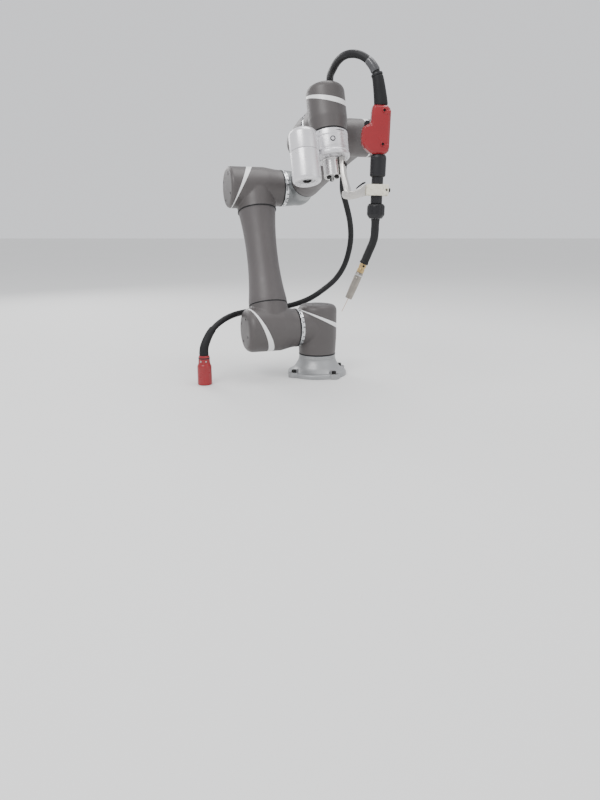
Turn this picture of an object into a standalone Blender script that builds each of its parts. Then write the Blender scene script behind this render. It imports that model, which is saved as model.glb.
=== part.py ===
"""Six-axis collaborative robot arm with a wrist camera and a gas-shielded welding torch.

Metres, +Z up.  The origin is where the first joint's axis meets the base's bottom face.
Six joint modules of one pattern (a housing that is a cup with a domed cap, a slanted
inlay between the two, a black seal and a bright output ring) are placed by the joint
angles below, and tubes and castings join them.
"""
import math

import bmesh
import bpy
from mathutils import Matrix, Vector

# ---------------------------------------------------------------- driving dimensions
D1, A2, A3, D4, D5, D6 = 0.1452, 0.429, 0.4115, 0.1223, 0.106, 0.1015  # link lengths
ARM_OFFSET = 0.147     # first axis to the upper arm's plane, along the second axis
FORE_OFFSET = 0.0080   # first axis to the forearm's plane

YAW = 20.5             # rest pose, degrees: first joint
LEAN = 20.0            # upper arm, backwards from upright
RISE = 14.2            # forearm, above level
NOD = 17.5             # fifth axis, above level
ROLL = -0.5            # sixth axis, sideways about the fifth
TOOL_TURN = 16.0       # camera's bearing about the sixth axis, from the second axis

GAP = 0.0003           # clearance between touching pieces
SEAL = 0.0035          # height of a black seal ring
RING = 0.0100          # height of a bright output ring

# module: main radius, output radius, output plane below and cap top above the crossing
# point, branch radius and reach, inlay: mid height, slant and its bearing from the
# branch, narrow and wide widths, height of the cap's rounded rim
MODULES = {
    "j1": dict(R=0.0580, Rr=0.0550, out=0.0790, cap=0.0680, Rb=0.0550, Lb=0.0, zs=0.0270, slant=24.0, turn=0, wn=0.0030, ww=0.0150, rim=0.018, n=28),
    "j2": dict(R=0.0650, Rr=0.0565, out=0.0730, cap=0.0810, Rb=0.0540, Lb=0.0730, zs=0.0415, slant=25.5, turn=0, wn=0.0030, ww=0.0180, rim=0.020, n=28),
    "j3": dict(R=0.0595, Rr=0.0525, out=0.0790, cap=0.0840, Rb=0.0545, Lb=0.0720, zs=0.0445, slant=27.0, turn=0, wn=0.0030, ww=0.0190, rim=0.010, n=28),
    "j4": dict(R=0.0440, Rr=0.0400, out=0.0420, cap=0.0640, Rb=0.0410, Lb=0.0590, zs=0.0290, slant=8.0, turn=-60, wn=0.0030, ww=0.0150, rim=0.014, n=24),
    "j5": dict(R=0.0440, Rr=0.0400, out=0.0420, cap=0.0640, Rb=0.0400, Lb=0.0, zs=0.0290, slant=12.0, turn=0, wn=0.0025, ww=0.0120, rim=0.014, n=24),
    "j6": dict(R=0.0440, Rr=0.0400, out=0.0425, cap=0.0620, Rb=0.0400, Lb=0.0, zs=0.0270, slant=13.0, turn=28, wn=0.0035, ww=0.0125, rim=0.014, n=24),
}

STACK = SEAL + RING + 3 * GAP      # seal and output ring between two links
MODULES["j1"]["Lb"] = ARM_OFFSET - MODULES["j2"]["out"] - STACK
MODULES["j5"]["Lb"] = D4 - FORE_OFFSET - MODULES["j4"]["out"] - STACK
MODULES["j6"]["Lb"] = D5 - MODULES["j5"]["out"] - STACK

FLANGE_R = 0.0403      # tool flange module
CAMERA_R = 0.0320      # wrist camera barrel
CAMERA_AT = 0.0755     # camera axis from the sixth axis
CABLE_D = 0.0170       # torch cable

# ---------------------------------------------------------------- clear the scene
for o in list(bpy.data.objects):
    bpy.data.objects.remove(o, do_unlink=True)
COLL = bpy.context.scene.collection


# ---------------------------------------------------------------- materials
def material(name, colour, rough, metal=0.0):
    m = bpy.data.materials.new(name)
    m.use_nodes = True
    p = m.node_tree.nodes["Principled BSDF"]
    p.inputs["Base Color"].default_value = (*colour, 1.0)
    p.inputs["Roughness"].default_value = rough
    p.inputs["Metallic"].default_value = metal
    m.diffuse_color = (*colour, 1.0)
    return m


SHELL = material("shell_grey", (0.135, 0.122, 0.120), 0.42, 0.25)
INLAY = material("inlay_white", (0.80, 0.80, 0.80), 0.35)
RUBBER = material("seal_black", (0.012, 0.012, 0.013), 0.6)
BRIGHT = material("bright_ring", (0.62, 0.63, 0.64), 0.28, 0.9)
CASTING = material("casting_silver", (0.33, 0.34, 0.35), 0.42, 0.7)
WHITE = material("flange_white", (0.70, 0.70, 0.71), 0.38, 0.3)
DRIVE = material("drive_steel", (0.42, 0.42, 0.43), 0.35, 1.0)
MOTOR = material("motor_copper", (0.45, 0.22, 0.10), 0.45, 0.8)
GLASS = material("lens_dark", (0.01, 0.01, 0.015), 0.08)
ALU = material("bracket_aluminium", (0.62, 0.61, 0.58), 0.35, 0.85)
CREAM = material("clamp_cream", (0.75, 0.72, 0.62), 0.5)
RED = material("handle_red", (0.42, 0.030, 0.035), 0.33)
BLACK = material("torch_black", (0.018, 0.018, 0.020), 0.45)
NICKEL = material("nozzle_nickel", (0.32, 0.30, 0.27), 0.35, 0.9)


# ---------------------------------------------------------------- shape tools
def lathe(profile, n, loop=False):
    """A turned solid about Z from (radius, height) points; points on the axis are poles."""
    bm = bmesh.new()
    rings = []
    for r, z in profile:
        if r < 1e-9:
            rings.append([bm.verts.new((0, 0, z))])
        else:
            rings.append([bm.verts.new((r * math.cos(2 * math.pi * k / n), r * math.sin(2 * math.pi * k / n), z)) for k in range(n)])
    pairs = list(zip(rings, rings[1:])) + ([(rings[-1], rings[0])] if loop else [])
    for a, b in pairs:
        for k in range(n):
            j = (k + 1) % n
            ring = [a[k % len(a)], a[j % len(a)], b[j % len(b)], b[k % len(b)]]
            face = []
            for v in ring:
                if v not in face:
                    face.append(v)
            if len(face) > 2:
                bm.faces.new(face)
    bmesh.ops.recalc_face_normals(bm, faces=bm.faces)
    me = bpy.data.meshes.new("lathe")
    bm.to_mesh(me)
    bm.free()
    return me


def block(x0, x1, y0, y1, z0, z1):
    bm = bmesh.new()
    bmesh.ops.create_cube(bm, size=1.0)
    for v in bm.verts:
        v.co = Vector((x1 if v.co.x > 0 else x0, y1 if v.co.y > 0 else y0, z1 if v.co.z > 0 else z0))
    me = bpy.data.meshes.new("block")
    bm.to_mesh(me)
    bm.free()
    return me


def moved(me, m):
    me.transform(m)
    if m.determinant() < 0:
        me.flip_normals()
    return me


def plate(points, thick, bevel=0.0):
    """A prism: the outline in XY, from z = -thick/2 to thick/2."""
    bm = bmesh.new()
    vs = [bm.verts.new((x, y, -thick / 2)) for x, y in points]
    f = bm.faces.new(vs)
    out = bmesh.ops.extrude_face_region(bm, geom=[f])
    bmesh.ops.translate(bm, verts=[v for v in out["geom"] if isinstance(v, bmesh.types.BMVert)], vec=(0, 0, thick))
    bmesh.ops.recalc_face_normals(bm, faces=bm.faces)
    if bevel:
        bmesh.ops.bevel(bm, geom=bm.edges[:], offset=bevel, segments=1, affect="EDGES")
    me = bpy.data.meshes.new("plate")
    bm.to_mesh(me)
    bm.free()
    return me


def combine(a, b, how):
    oa, ob = bpy.data.objects.new("a", a), bpy.data.objects.new("b", b)
    COLL.objects.link(oa)
    COLL.objects.link(ob)
    mod = oa.modifiers.new("cut", "BOOLEAN")
    mod.operation, mod.solver, mod.object = how, "EXACT", ob
    bpy.context.view_layer.update()
    me = bpy.data.meshes.new_from_object(oa.evaluated_get(bpy.context.evaluated_depsgraph_get()))
    bpy.data.objects.remove(oa)
    bpy.data.objects.remove(ob)
    return me


def union(a, b):
    return combine(a, b, "UNION")


def cut(a, b):
    return combine(a, b, "DIFFERENCE")


def keep(a, b):
    return combine(a, b, "INTERSECT")


def cylinder(r, z0, z1, n, r1=None):
    return lathe([(0, z0), (r, z0), (r if r1 is None else r1, z1), (0, z1)], n)


def tidy(me):
    bm = bmesh.new()
    bm.from_mesh(me)
    bmesh.ops.remove_doubles(bm, verts=bm.verts, dist=0.00002)
    bmesh.ops.dissolve_degenerate(bm, edges=bm.edges, dist=0.00002)
    bmesh.ops.triangulate(bm, faces=bm.faces)
    bmesh.ops.recalc_face_normals(bm, faces=bm.faces)
    bm.to_mesh(me)
    bm.free()
    return me


def along_x():
    """Turns a shape made along Z so that it runs along +X."""
    return Matrix.Rotation(math.radians(90), 4, "Y")


def half(point, normal, size=0.4):
    """A big block on the side of a plane that its normal points away from."""
    n = Vector(normal).normalized()
    q = n.to_track_quat("Z", "Y").to_matrix().to_4x4()
    return moved(block(-size, size, -size * 0.93, size * 1.07, -2 * size, 0), Matrix.Translation(point) @ q)


def piece(name, me, place, mat, parent, smooth=35):
    me.name = name
    o = bpy.data.objects.new(name, me)
    COLL.objects.link(o)
    o.parent = parent
    o.matrix_parent_inverse = parent.matrix_world.inverted()
    o.matrix_world = place
    me.materials.clear()
    me.materials.append(mat)
    me.shade_smooth()
    me.set_sharp_from_angle(angle=math.radians(smooth))
    return o


def empty(name, at, axis, parent=None):
    e = bpy.data.objects.new(name, None)
    COLL.objects.link(e)
    e.empty_display_size = 0.05
    e.matrix_world = Matrix.Translation(at) @ Vector(axis).to_track_quat("Z", "Y").to_matrix().to_4x4()
    if parent:
        w = e.matrix_world.copy()
        e.parent = parent
        e.matrix_parent_inverse = parent.matrix_world.inverted()
        e.matrix_world = w
    bpy.context.view_layer.update()
    return e


def frame(origin, x, z):
    """A placing matrix from its origin, its X axis and its Z axis."""
    z = Vector(z).normalized()
    x = (Vector(x) - Vector(x).dot(z) * z).normalized()
    y = z.cross(x)
    m = Matrix((x, y, z)).transposed().to_4x4()
    m.translation = Vector(origin)
    return m


# ---------------------------------------------------------------- rest pose
def deg(a):
    return math.radians(a)


UP = Vector((0, 0, 1))
SIDE = Vector((-math.cos(deg(YAW)), -math.sin(deg(YAW)), 0))    # second, third and fourth axes
FRONT = Vector((math.sin(deg(YAW)), -math.cos(deg(YAW)), 0))
UPPER = -FRONT * math.sin(deg(LEAN)) + UP * math.cos(deg(LEAN))
FORE = FRONT * math.cos(deg(RISE)) + UP * math.sin(deg(RISE))
FIFTH = FRONT * math.cos(deg(NOD)) + UP * math.sin(deg(NOD))
DOWN = -UP * math.cos(deg(NOD)) + FRONT * math.sin(deg(NOD))
SIXTH = DOWN * math.cos(deg(ROLL)) - SIDE * math.sin(deg(ROLL))

SHOULDER = UP * D1
ELBOW = SHOULDER + UPPER * A2
WRIST = ELBOW + FORE * A3
CROSS5 = WRIST + SIDE * D4
CROSS6 = CROSS5 + FIFTH * D5
TOOL = CROSS6 + SIXTH * D6

PLACE = {
    "j1": frame(SHOULDER, SIDE, UP),
    "j2": frame(SHOULDER + SIDE * ARM_OFFSET, UPPER, SIDE),
    "j3": frame(ELBOW + SIDE * ARM_OFFSET, -UPPER, SIDE),
    "j4": frame(WRIST + SIDE * FORE_OFFSET, -FORE, -SIDE),
    "j5": frame(CROSS5, -SIDE, -FIFTH),
    "j6": frame(CROSS6, -FIFTH, -SIXTH),
}

root = empty("base_frame", (0, 0, 0), UP)
shoulder = empty("shoulder_axis", SHOULDER, UP, root)
upper = empty("upper_arm_axis", SHOULDER, SIDE, shoulder)
fore = empty("forearm_axis", ELBOW, SIDE, upper)
wrist1 = empty("wrist_1_axis", WRIST, SIDE, fore)
wrist2 = empty("wrist_2_axis", CROSS5, FIFTH, wrist1)
tool = empty("tool_axis", CROSS6, SIXTH, wrist2)


# ---------------------------------------------------------------- joint modules
def module(key, label, body, branch_names=True):
    """Housing, cap, inlay, seal and drive of one joint, in the module's own frame:
    Z runs from the output towards the cap and X along the branch."""
    d = MODULES[key]
    R, Rr, out, cap, Rb, Lb, n = d["R"], d["Rr"], d["out"], d["cap"], d["Rb"], d["Lb"], d["n"]
    rim = d["rim"]
    outer = lathe([(0, cap), (R - rim, cap - 0.0006), (R - 0.34 * rim, cap - 0.32 * rim), (R, cap - rim),
                   (R, -0.35 * out), (Rr + 0.0012, -0.80 * out), (Rr, -out), (0, -out)], n)
    arm = moved(lathe([(0, 0.002), (Rb + 0.0010, 0.002), (Rb, Lb), (0, Lb)], n), along_x() @ Matrix.Rotation(math.pi / n, 4, "Z"))
    hollow = cylinder(Rr - 0.0075, -out - 0.02, cap - 0.0090, 18)
    bore = moved(cylinder(0.80 * (Rr - 0.0075), 0.004, Lb + 0.02, 14), along_x() @ Matrix.Rotation(math.pi / 14, 4, "Z"))
    shell = union(outer, arm)
    shell = cut(cut(shell, hollow), bore)
    s, w0, w1 = math.tan(deg(d["slant"])), d["wn"], d["ww"]
    mid = 0.5 * (w0 + w1)
    tilt = (w1 - w0) / (2 * R)
    cs, sn = math.cos(deg(d["turn"])), math.sin(deg(d["turn"]))
    low = (-(s + 0.5 * tilt) * cs, -(s + 0.5 * tilt) * sn, 1)
    high = (-(s - 0.5 * tilt) * cs, -(s - 0.5 * tilt) * sn, 1)
    zl, zh = d["zs"] - mid / 2, d["zs"] + mid / 2
    up_low = Vector(low).normalized()
    up_high = Vector(high).normalized()
    body_part = keep(shell.copy(), half(Vector((0, 0, zl)), low))
    band = cut(keep(shell.copy(), half(Vector((0, 0, zh)), high)), half(Vector((0, 0, zl)) + up_low * GAP, low))
    top = cut(shell, half(Vector((0, 0, zh)) + up_high * GAP, high))
    place = PLACE[key]
    piece(label + "_housing", tidy(body_part), place, SHELL, body)
    piece(label + "_cap", tidy(top), place, SHELL, body)
    piece(label + "_inlay", tidy(band), place, INLAY, body)
    z = -out - GAP
    piece(label + "_seal", lathe([(Rr - 0.0005, z), (Rr - 0.0005, z - SEAL), (Rr - 0.006, z - SEAL), (Rr - 0.006, z)], 20, True), place, RUBBER, body)
    return place


def drive(key, label, body, whole=False):
    """The strain-wave gear, and the motor behind it, round a hollow shaft."""
    d = MODULES[key]
    Rr, out, cap, n = d["Rr"], d["out"], d["cap"], 14
    ri = Rr - 0.0092
    z0 = -out + 0.001
    gear = [(0.010, z0), (ri * 0.80, z0), (ri * 0.80, z0 + 0.006), (ri, z0 + 0.006), (ri, z0 + 0.022), (0.010, z0 + 0.022)]
    zm = z0 + 0.0225
    zt = min(cap - 0.022, zm + 0.055)
    if whole:
        gear = gear[:-1] + [(ri * 0.62, z0 + 0.022), (ri * 0.62, z0 + 0.027), (ri * 0.9, z0 + 0.027), (ri * 0.9, zt), (0.010, zt)]
        piece(label + "_drive_unit", lathe(gear, n, True), PLACE[key], DRIVE, body)
        return
    piece(label + "_strain_wave_gear", lathe(gear, n, True), PLACE[key], DRIVE, body)
    piece(label + "_motor", lathe([(0.010, zm), (ri * 0.55, zm), (ri * 0.55, zm + 0.004), (ri * 0.88, zm + 0.004), (ri * 0.88, zt), (0.010, zt)], n, True), PLACE[key], MOTOR, body)


def output_ring(key, name, body):
    d = MODULES[key]
    z = -d["out"] - GAP - SEAL - GAP
    R = d["Rr"]
    piece(name, lathe([(R - 0.001, z), (R, z - 0.001), (R, z - RING), (R - 0.0085, z - RING), (R - 0.0085, z)], 22, True), PLACE[key], BRIGHT, body)


module("j1", "shoulder", shoulder)
module("j2", "upper_arm_lower", upper)
module("j3", "elbow", upper)
module("j4", "wrist_1", fore)
module("j5", "wrist_2", wrist1)
module("j6", "wrist_3", wrist2)
drive("j1", "j1", shoulder)
drive("j2", "j2", upper)
drive("j3", "j3", upper)
drive("j4", "j4", fore, True)
drive("j5", "j5", wrist1, True)
drive("j6", "j6", wrist2, True)
output_ring("j1", "base_output_ring", root)
output_ring("j2", "shoulder_output_ring", shoulder)
output_ring("j3", "forearm_output_ring", fore)
output_ring("j4", "wrist_2_output_ring", wrist1)
output_ring("j5", "wrist_3_output_ring", wrist2)

# ---------------------------------------------------------------- base casting
top = D1 - MODULES["j1"]["out"] - STACK
BOLT_R, BOLT_YAW, FOOT = 0.0860, 34.5, 0.0140
flare = lathe([(0, top), (0.0550, top), (0.0555, top - 0.004), (0.0600, top - 0.012), (0.0685, FOOT + 0.019), (0.0760, FOOT + 0.008), (0.0860, FOOT), (0.0890, FOOT - 0.003), (0.0890, 0), (0, 0)], 36)
for i in range(4):
    a = deg(BOLT_YAW + 90 * i)
    at = Matrix.Translation((BOLT_R * math.cos(a), BOLT_R * math.sin(a), 0)) @ Matrix.Rotation(a, 4, "Z")
    flare = union(flare, moved(cylinder(0.0165, 0.0, FOOT, 14), at))
for i in range(4):
    a = deg(BOLT_YAW + 90 * i)
    at = Matrix.Translation((BOLT_R * math.cos(a), BOLT_R * math.sin(a), 0)) @ Matrix.Rotation(a + 0.08, 4, "Z")
    flare = cut(flare, moved(cylinder(0.0120, FOOT - 0.0012, 0.2, 12, 0.0400), at))
    flare = cut(flare, moved(cylinder(0.0046, -0.01, 0.03, 8), at))
flare = cut(flare, lathe([(0, 0.006), (0.0400, 0.006), (0.0450, 0.016), (0.0450, top + 0.01), (0, top + 0.01)], 20))
# the cable outlet's flat pad at the back
back = frame((0, 0, 0.036), UP, (-math.sin(deg(BOLT_YAW - 45)), math.cos(deg(BOLT_YAW - 45)), 0))
flare = union(flare, moved(block(-0.0115, 0.0125, -0.019, 0.019, 0.050, 0.0800), back))
piece("base_casting", tidy(flare), Matrix.Identity(4), CASTING, root)
piece("base_cable_gland", lathe([(0.0045, 0.0803), (0.0095, 0.0803), (0.0095, 0.0850), (0.0078, 0.0865), (0.0078, 0.0940), (0.0045, 0.0940)], 14, True), back, BLACK, root)

# ---------------------------------------------------------------- upper arm tube
def tube(name, place, stations, wall, n, mat, body):
    outside = [(r, z) for z, r in stations]
    least = min(r for z, r in stations) - wall
    inside = [(least, z) for z, r in (stations[-1], stations[0])]
    piece(name, lathe(outside + inside, n, True), place, mat, body)


z0, z1 = MODULES["j2"]["Lb"] + GAP, A2 - MODULES["j3"]["Lb"] - GAP
span = z1 - z0
stations = []
for i in range(9):
    t = i / 8
    # waisted: the ends meet the two housings, the waist lies just above the middle
    r = 0.0435 + 0.0115 * abs(2 * t - 1.06) ** 2.1
    stations.append((z0 + span * t, min(r, 0.0545)))
arm_place = frame(SHOULDER + SIDE * ARM_OFFSET, SIDE, UPPER)
tube("upper_arm_tube", arm_place, stations, 0.005, 28, SHELL, upper)

# ---------------------------------------------------------------- forearm
corner = frame(ELBOW + SIDE * FORE_OFFSET, FORE, SIDE)      # X along the forearm, Z towards the elbow
ring_end = ARM_OFFSET - FORE_OFFSET - MODULES["j3"]["out"] - STACK
NECK, NECK_R, MOUTH_R = 0.0700, 0.0455, 0.0520
ball = lathe([(0, ring_end), (MOUTH_R, ring_end), (MOUTH_R - 0.0005, ring_end - 0.014)] +
             [(0.0500 * math.cos(deg(a)), 0.0500 * math.sin(deg(a)) * 0.92) for a in range(10, -90, -20)] + [(0, -0.0460)], 28)
neck = moved(lathe([(0, 0.003), (0.0430, 0.003), (0.0445, 0.045), (NECK_R, NECK), (0, NECK)], 28), along_x() @ Matrix.Rotation(math.pi / 28, 4, "Z"))
cast = union(ball, neck)
cast = cut(cast, cylinder(0.0385, -0.026, ring_end + 0.02, 20))
cast = cut(cast, moved(cylinder(0.0375, 0.004, NECK + 0.02, 20), along_x() @ Matrix.Rotation(math.pi / 20, 4, "Z")))
piece("forearm_casting", tidy(cast), corner, CASTING, fore)
fore_place = frame(ELBOW + SIDE * FORE_OFFSET, SIDE, FORE)
piece("forearm_seal", lathe([(NECK_R - 0.0005, NECK + GAP), (NECK_R - 0.0005, NECK + GAP + SEAL), (NECK_R - 0.007, NECK + GAP + SEAL), (NECK_R - 0.007, NECK + GAP)], 24, True), fore_place, RUBBER, fore)
f0, f1 = NECK + SEAL + 2 * GAP, A3 - MODULES["j4"]["Lb"] - GAP
stations = []
for i in range(5):
    t = i / 4
    stations.append((f0 + (f1 - f0) * t, 0.0408 + 0.0047 * (1 - t) ** 2.4))
tube("forearm_tube", fore_place, stations, 0.0050, 24, SHELL, fore)

# ---------------------------------------------------------------- flange module
hand = frame(CROSS6, SIDE, SIXTH) @ Matrix.Rotation(deg(-TOOL_TURN), 4, "Z")    # Z along the sixth axis towards the tool, X towards the camera
F0 = MODULES["j6"]["out"] + SEAL + 2 * GAP
flange = lathe([(0, D6), (0.0396, D6), (0.0418, D6 - 0.0020), (0.0418, D6 - 0.0080), (FLANGE_R - 0.0010, D6 - 0.0095),
                (FLANGE_R, F0 + 0.0135), (0.0412, F0 + 0.0120), (0.0412, F0), (0.0260, F0), (0.0260, F0 + 0.040), (0, F0 + 0.040)], 32)
# a saddle joins the camera barrel
saddle = block(0.020, CAMERA_AT - 0.0310, -0.0150, 0.0150, F0 + 0.020, D6 - 0.012)
flange = union(flange, saddle)
barrel_gap = moved(cylinder(CAMERA_R + GAP, -0.1, 0.3, 24), Matrix.Translation((CAMERA_AT, 0, 0)))
flange = cut(flange, barrel_gap)
# four tapped holes on a 50 mm circle and the button's pocket
for i in range(4):
    a = deg(45 + 90 * i)
    flange = cut(flange, moved(cylinder(0.0025, D6 - 0.008, D6 + 0.02, 8), Matrix.Translation((0.025 * math.cos(a), 0.025 * math.sin(a), 0))))
VIEW = Vector((0.12, -1, 0))
press = (VIEW - VIEW.dot(SIXTH) * SIXTH).normalized()
BUTTON_Z = 0.0710
button_at = frame(CROSS6 + SIXTH * BUTTON_Z, SIXTH, press)
to_hand = hand.inverted() @ button_at
flange = cut(flange, moved(cylinder(0.0058, FLANGE_R - 0.0060, FLANGE_R + 0.02, 20), to_hand))
piece("tool_flange_module", tidy(flange), hand, WHITE, tool)
button_axis = empty("free_button_axis", CROSS6 + SIXTH * BUTTON_Z + press * FLANGE_R, press, tool)
piece("free_button", lathe([(0, FLANGE_R + 0.0012), (0.0040, FLANGE_R + 0.0012), (0.0052, FLANGE_R + 0.0004), (0.0052, FLANGE_R - 0.0035), (0, FLANGE_R - 0.0035)], 20), button_at, RUBBER, button_axis)

# ---------------------------------------------------------------- wrist camera
CAM0, CAM1, CAM_SEAM = 0.0445, 0.1660, 0.0980
cam_place = hand @ Matrix.Translation((CAMERA_AT, 0, 0))
dome = [(0, CAM0)] + [(CAMERA_R * math.sin(deg(a)), CAM0 + 0.0180 * (1 - math.cos(deg(a)))) for a in (25, 45, 65, 80)]
piece("camera_rear_cover", lathe(dome + [(CAMERA_R, CAM0 + 0.0200), (CAMERA_R, CAM_SEAM), (CAMERA_R - 0.003, CAM_SEAM), (CAMERA_R - 0.003, CAM0 + 0.022), (CAMERA_R * 0.6, CAM0 + 0.010), (0, CAM0 + 0.008)], 24), cam_place, WHITE, tool)
c0 = CAM_SEAM + GAP
piece("camera_front_cover", lathe([(CAMERA_R - 0.0004, c0), (CAMERA_R, c0 + 0.0006), (CAMERA_R, CAM1 - 0.004), (CAMERA_R - 0.004, CAM1), (0.0200, CAM1), (0.0180, CAM1 - 0.004), (0.0180, CAM1 - 0.030), (CAMERA_R - 0.004, CAM1 - 0.031), (CAMERA_R - 0.004, c0)], 24, True), cam_place, WHITE, tool)
piece("camera_lens_module", lathe([(0, CAM1 - 0.0050), (0.0120, CAM1 - 0.0045), (0.0177, CAM1 - 0.0050), (0.0177, CAM1 - 0.0300), (0.0177, CAM1 - 0.0303), (0.0160, CAM1 - 0.0560), (0, CAM1 - 0.0560)], 20), cam_place, GLASS, tool)

# ---------------------------------------------------------------- torch mount
SPACER_H = 0.0405
RIGHT = Vector((math.cos(deg(20)), -math.sin(deg(20)), 0))      # the bracket's broad side faces this way
mount = frame(CROSS6, -RIGHT, SIXTH)
off = Matrix.Translation((0.0020, 0, 0))
spacer = lathe([(0, D6 + GAP), (0.0190, D6 + GAP), (0.0190, D6 + SPACER_H - 0.001), (0.0180, D6 + SPACER_H), (0, D6 + SPACER_H)], 24)
piece("torch_spacer", spacer, mount @ off, ALU, tool)

# ---------------------------------------------------------------- torch
TORCH = frame((0.1235, -0.4300, 0.6913), (-1, 0, 0), (-0.0210, 0, -1))   # Z down the torch, X to the arm's side
HANDLE_H, HALF = 0.1000, 0.0175
outline = [(-0.0120, 0.0), (0.0185, 0.0), (0.0205, 0.0025), (0.0225, 0.0300), (0.0350, 0.0330), (0.0430, 0.0450), (0.0405, 0.0765),
           (0.0270, 0.0930), (0.0165, HANDLE_H), (-0.0150, HANDLE_H), (-0.0205, 0.0960), (-0.0205, 0.0080)]
lie = Matrix(((1, 0, 0, 0), (0, 0, 1, 0), (0, 1, 0, 0), (0, 0, 0, 1)))     # outline's Y becomes the torch's Z
for name, sign in (("torch_handle_front", -1), ("torch_handle_rear", 1)):
    half_shell = moved(plate(outline, HALF - GAP / 2, 0.0025), Matrix.Translation((0, sign * (HALF + GAP / 2) / 2, 0)) @ lie)
    half_shell = cut(half_shell, cylinder(0.0080, -0.02, HANDLE_H + 0.02, 14))
    piece(name, tidy(half_shell), TORCH, RED, tool)
B0, B1, N0, N1 = HANDLE_H + GAP, 0.1460, 0.2033, 0.2361
piece("torch_body", lathe([(0.0150, B0), (0.0175, B0 + 0.003), (0.0175, B1 - 0.003), (0.0158, B1), (0.0130, B1 + 0.001), (0.0130, N0), (0.0060, N0), (0.0060, B0)], 20, True), TORCH, BLACK, tool)
piece("torch_nut", lathe([(0.0165, N0 + GAP), (0.0200, N0 + 0.0050), (0.0200, N1 - 0.0080), (0.0140, N1), (0.0060, N1), (0.0060, N0 + GAP)], 20, True), TORCH, BLACK, tool)

BEND, BEND_R, BEND_AT, NECK_LONG = deg(21.7), 0.080, 0.2806, 0.0600
reach = BEND_R * math.tan(BEND / 2)


def gooseneck_point(s):
    """Distance s along the gooseneck's centre line, in the torch's X-Z plane."""
    a = BEND_AT - reach - N1 - GAP
    if s <= a:
        return Vector((0, 0, N1 + GAP + s))
    if s <= a + BEND_R * BEND:
        t = (s - a) / BEND_R
        return Vector((BEND_R * (1 - math.cos(t)), 0, BEND_AT - reach + BEND_R * math.sin(t)))
    e = Vector((BEND_R * (1 - math.cos(BEND)), 0, BEND_AT - reach + BEND_R * math.sin(BEND)))
    return e + Vector((math.sin(BEND), 0, math.cos(BEND))) * (s - a - BEND_R * BEND)


def sweep(path, radius, n):
    """A round bar along a path in the X-Z plane."""
    bm = bmesh.new()
    rings = []
    for i, p in enumerate(path):
        t = (path[min(i + 1, len(path) - 1)] - path[max(i - 1, 0)]).normalized()
        u, v = Vector((0, 1, 0)), Vector((0, 1, 0)).cross(t)
        rings.append([bm.verts.new(p + radius * (u * math.cos(2 * math.pi * k / n) + v * math.sin(2 * math.pi * k / n))) for k in range(n)])
    for a, b in zip(rings, rings[1:]):
        for k in range(n):
            bm.faces.new([a[k], a[(k + 1) % n], b[(k + 1) % n], b[k]])
    bm.faces.new(rings[0])
    bm.faces.new(rings[-1])
    bmesh.ops.recalc_face_normals(bm, faces=bm.faces)
    me = bpy.data.meshes.new("sweep")
    bm.to_mesh(me)
    bm.free()
    return me


total = BEND_AT - reach - N1 - GAP + BEND_R * BEND + NECK_LONG - reach
piece("torch_gooseneck", sweep([gooseneck_point(total * i / 9) for i in range(10)], 0.0092, 14), TORCH, BLACK, tool)
end = gooseneck_point(total)
nozzle_place = TORCH @ frame(end, (math.cos(BEND), 0, -math.sin(BEND)), (math.sin(BEND), 0, math.cos(BEND))) @ Matrix.Translation((0, 0, GAP))
piece("torch_nozzle", lathe([(0, 0), (0.0080, 0), (0.0080, 0.021), (0.0088, 0.024), (0.0088, 0.060), (0.0079, 0.086), (0.0063, 0.086), (0.0063, 0.060), (0.0038, 0.060), (0.0030, 0.080),
                             (0.0006, 0.082), (0.0006, 0.120), (0, 0.120)], 14), nozzle_place, NICKEL, tool)

# ---------------------------------------------------------------- bracket and clamp
CL0, CL1 = 0.1625, 0.1865
clamp = block(-0.0247, 0.0252, -0.0180, 0.0180, CL0, CL1)
clamp = cut(clamp, cylinder(0.0130 + GAP, CL0 - 0.02, CL1 + 0.02, 20))
clamp = cut(clamp, block(-0.04, -0.010, -0.0012, 0.0012, CL0 - 0.02, CL1 + 0.02))
piece("torch_clamp", tidy(clamp), TORCH, CREAM, tool)
leg = moved(block(-0.0270, -0.0176, -0.0075, 0.0175, D6 + 0.0010, 0.1880), mount)
foot = TORCH.inverted() @ (CROSS6 + SIXTH * 0.1800 + RIGHT * 0.0223)
arm_outline = [(0.0256, CL0 + 0.001), (0.0345, CL0 + 0.001), (0.5 * (foot.x + 0.0345), foot.z - 0.0065), (foot.x - 0.0030, foot.z - 0.0060), (foot.x + 0.0050, foot.z - 0.0050),
               (foot.x + 0.0060, foot.z + 0.0070), (foot.x - 0.0080, foot.z + 0.0105), (0.0450, foot.z + 0.0085), (0.0340, 0.1885), (0.0256, 0.1870)]
arm = moved(moved(plate(arm_outline, 0.0230, 0.0), lie), TORCH)
inverse = mount.inverted()
bracket = union(moved(leg, inverse), moved(arm, inverse))
piece("torch_bracket", tidy(bracket), mount, ALU, tool)

# ---------------------------------------------------------------- torch cable and its connector
BOOT = Matrix.Translation((-0.3250, -0.1400, 0.0))
piece("cable_connector_boot", lathe([(0, 0), (0.0200, 0), (0.0208, 0.0030), (0.0203, 0.0540), (0.0168, 0.0610), (0.0152, 0.0800), (0.0140, 0.0835), (0, 0.0835)], 20), BOOT, RED, root)

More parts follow.
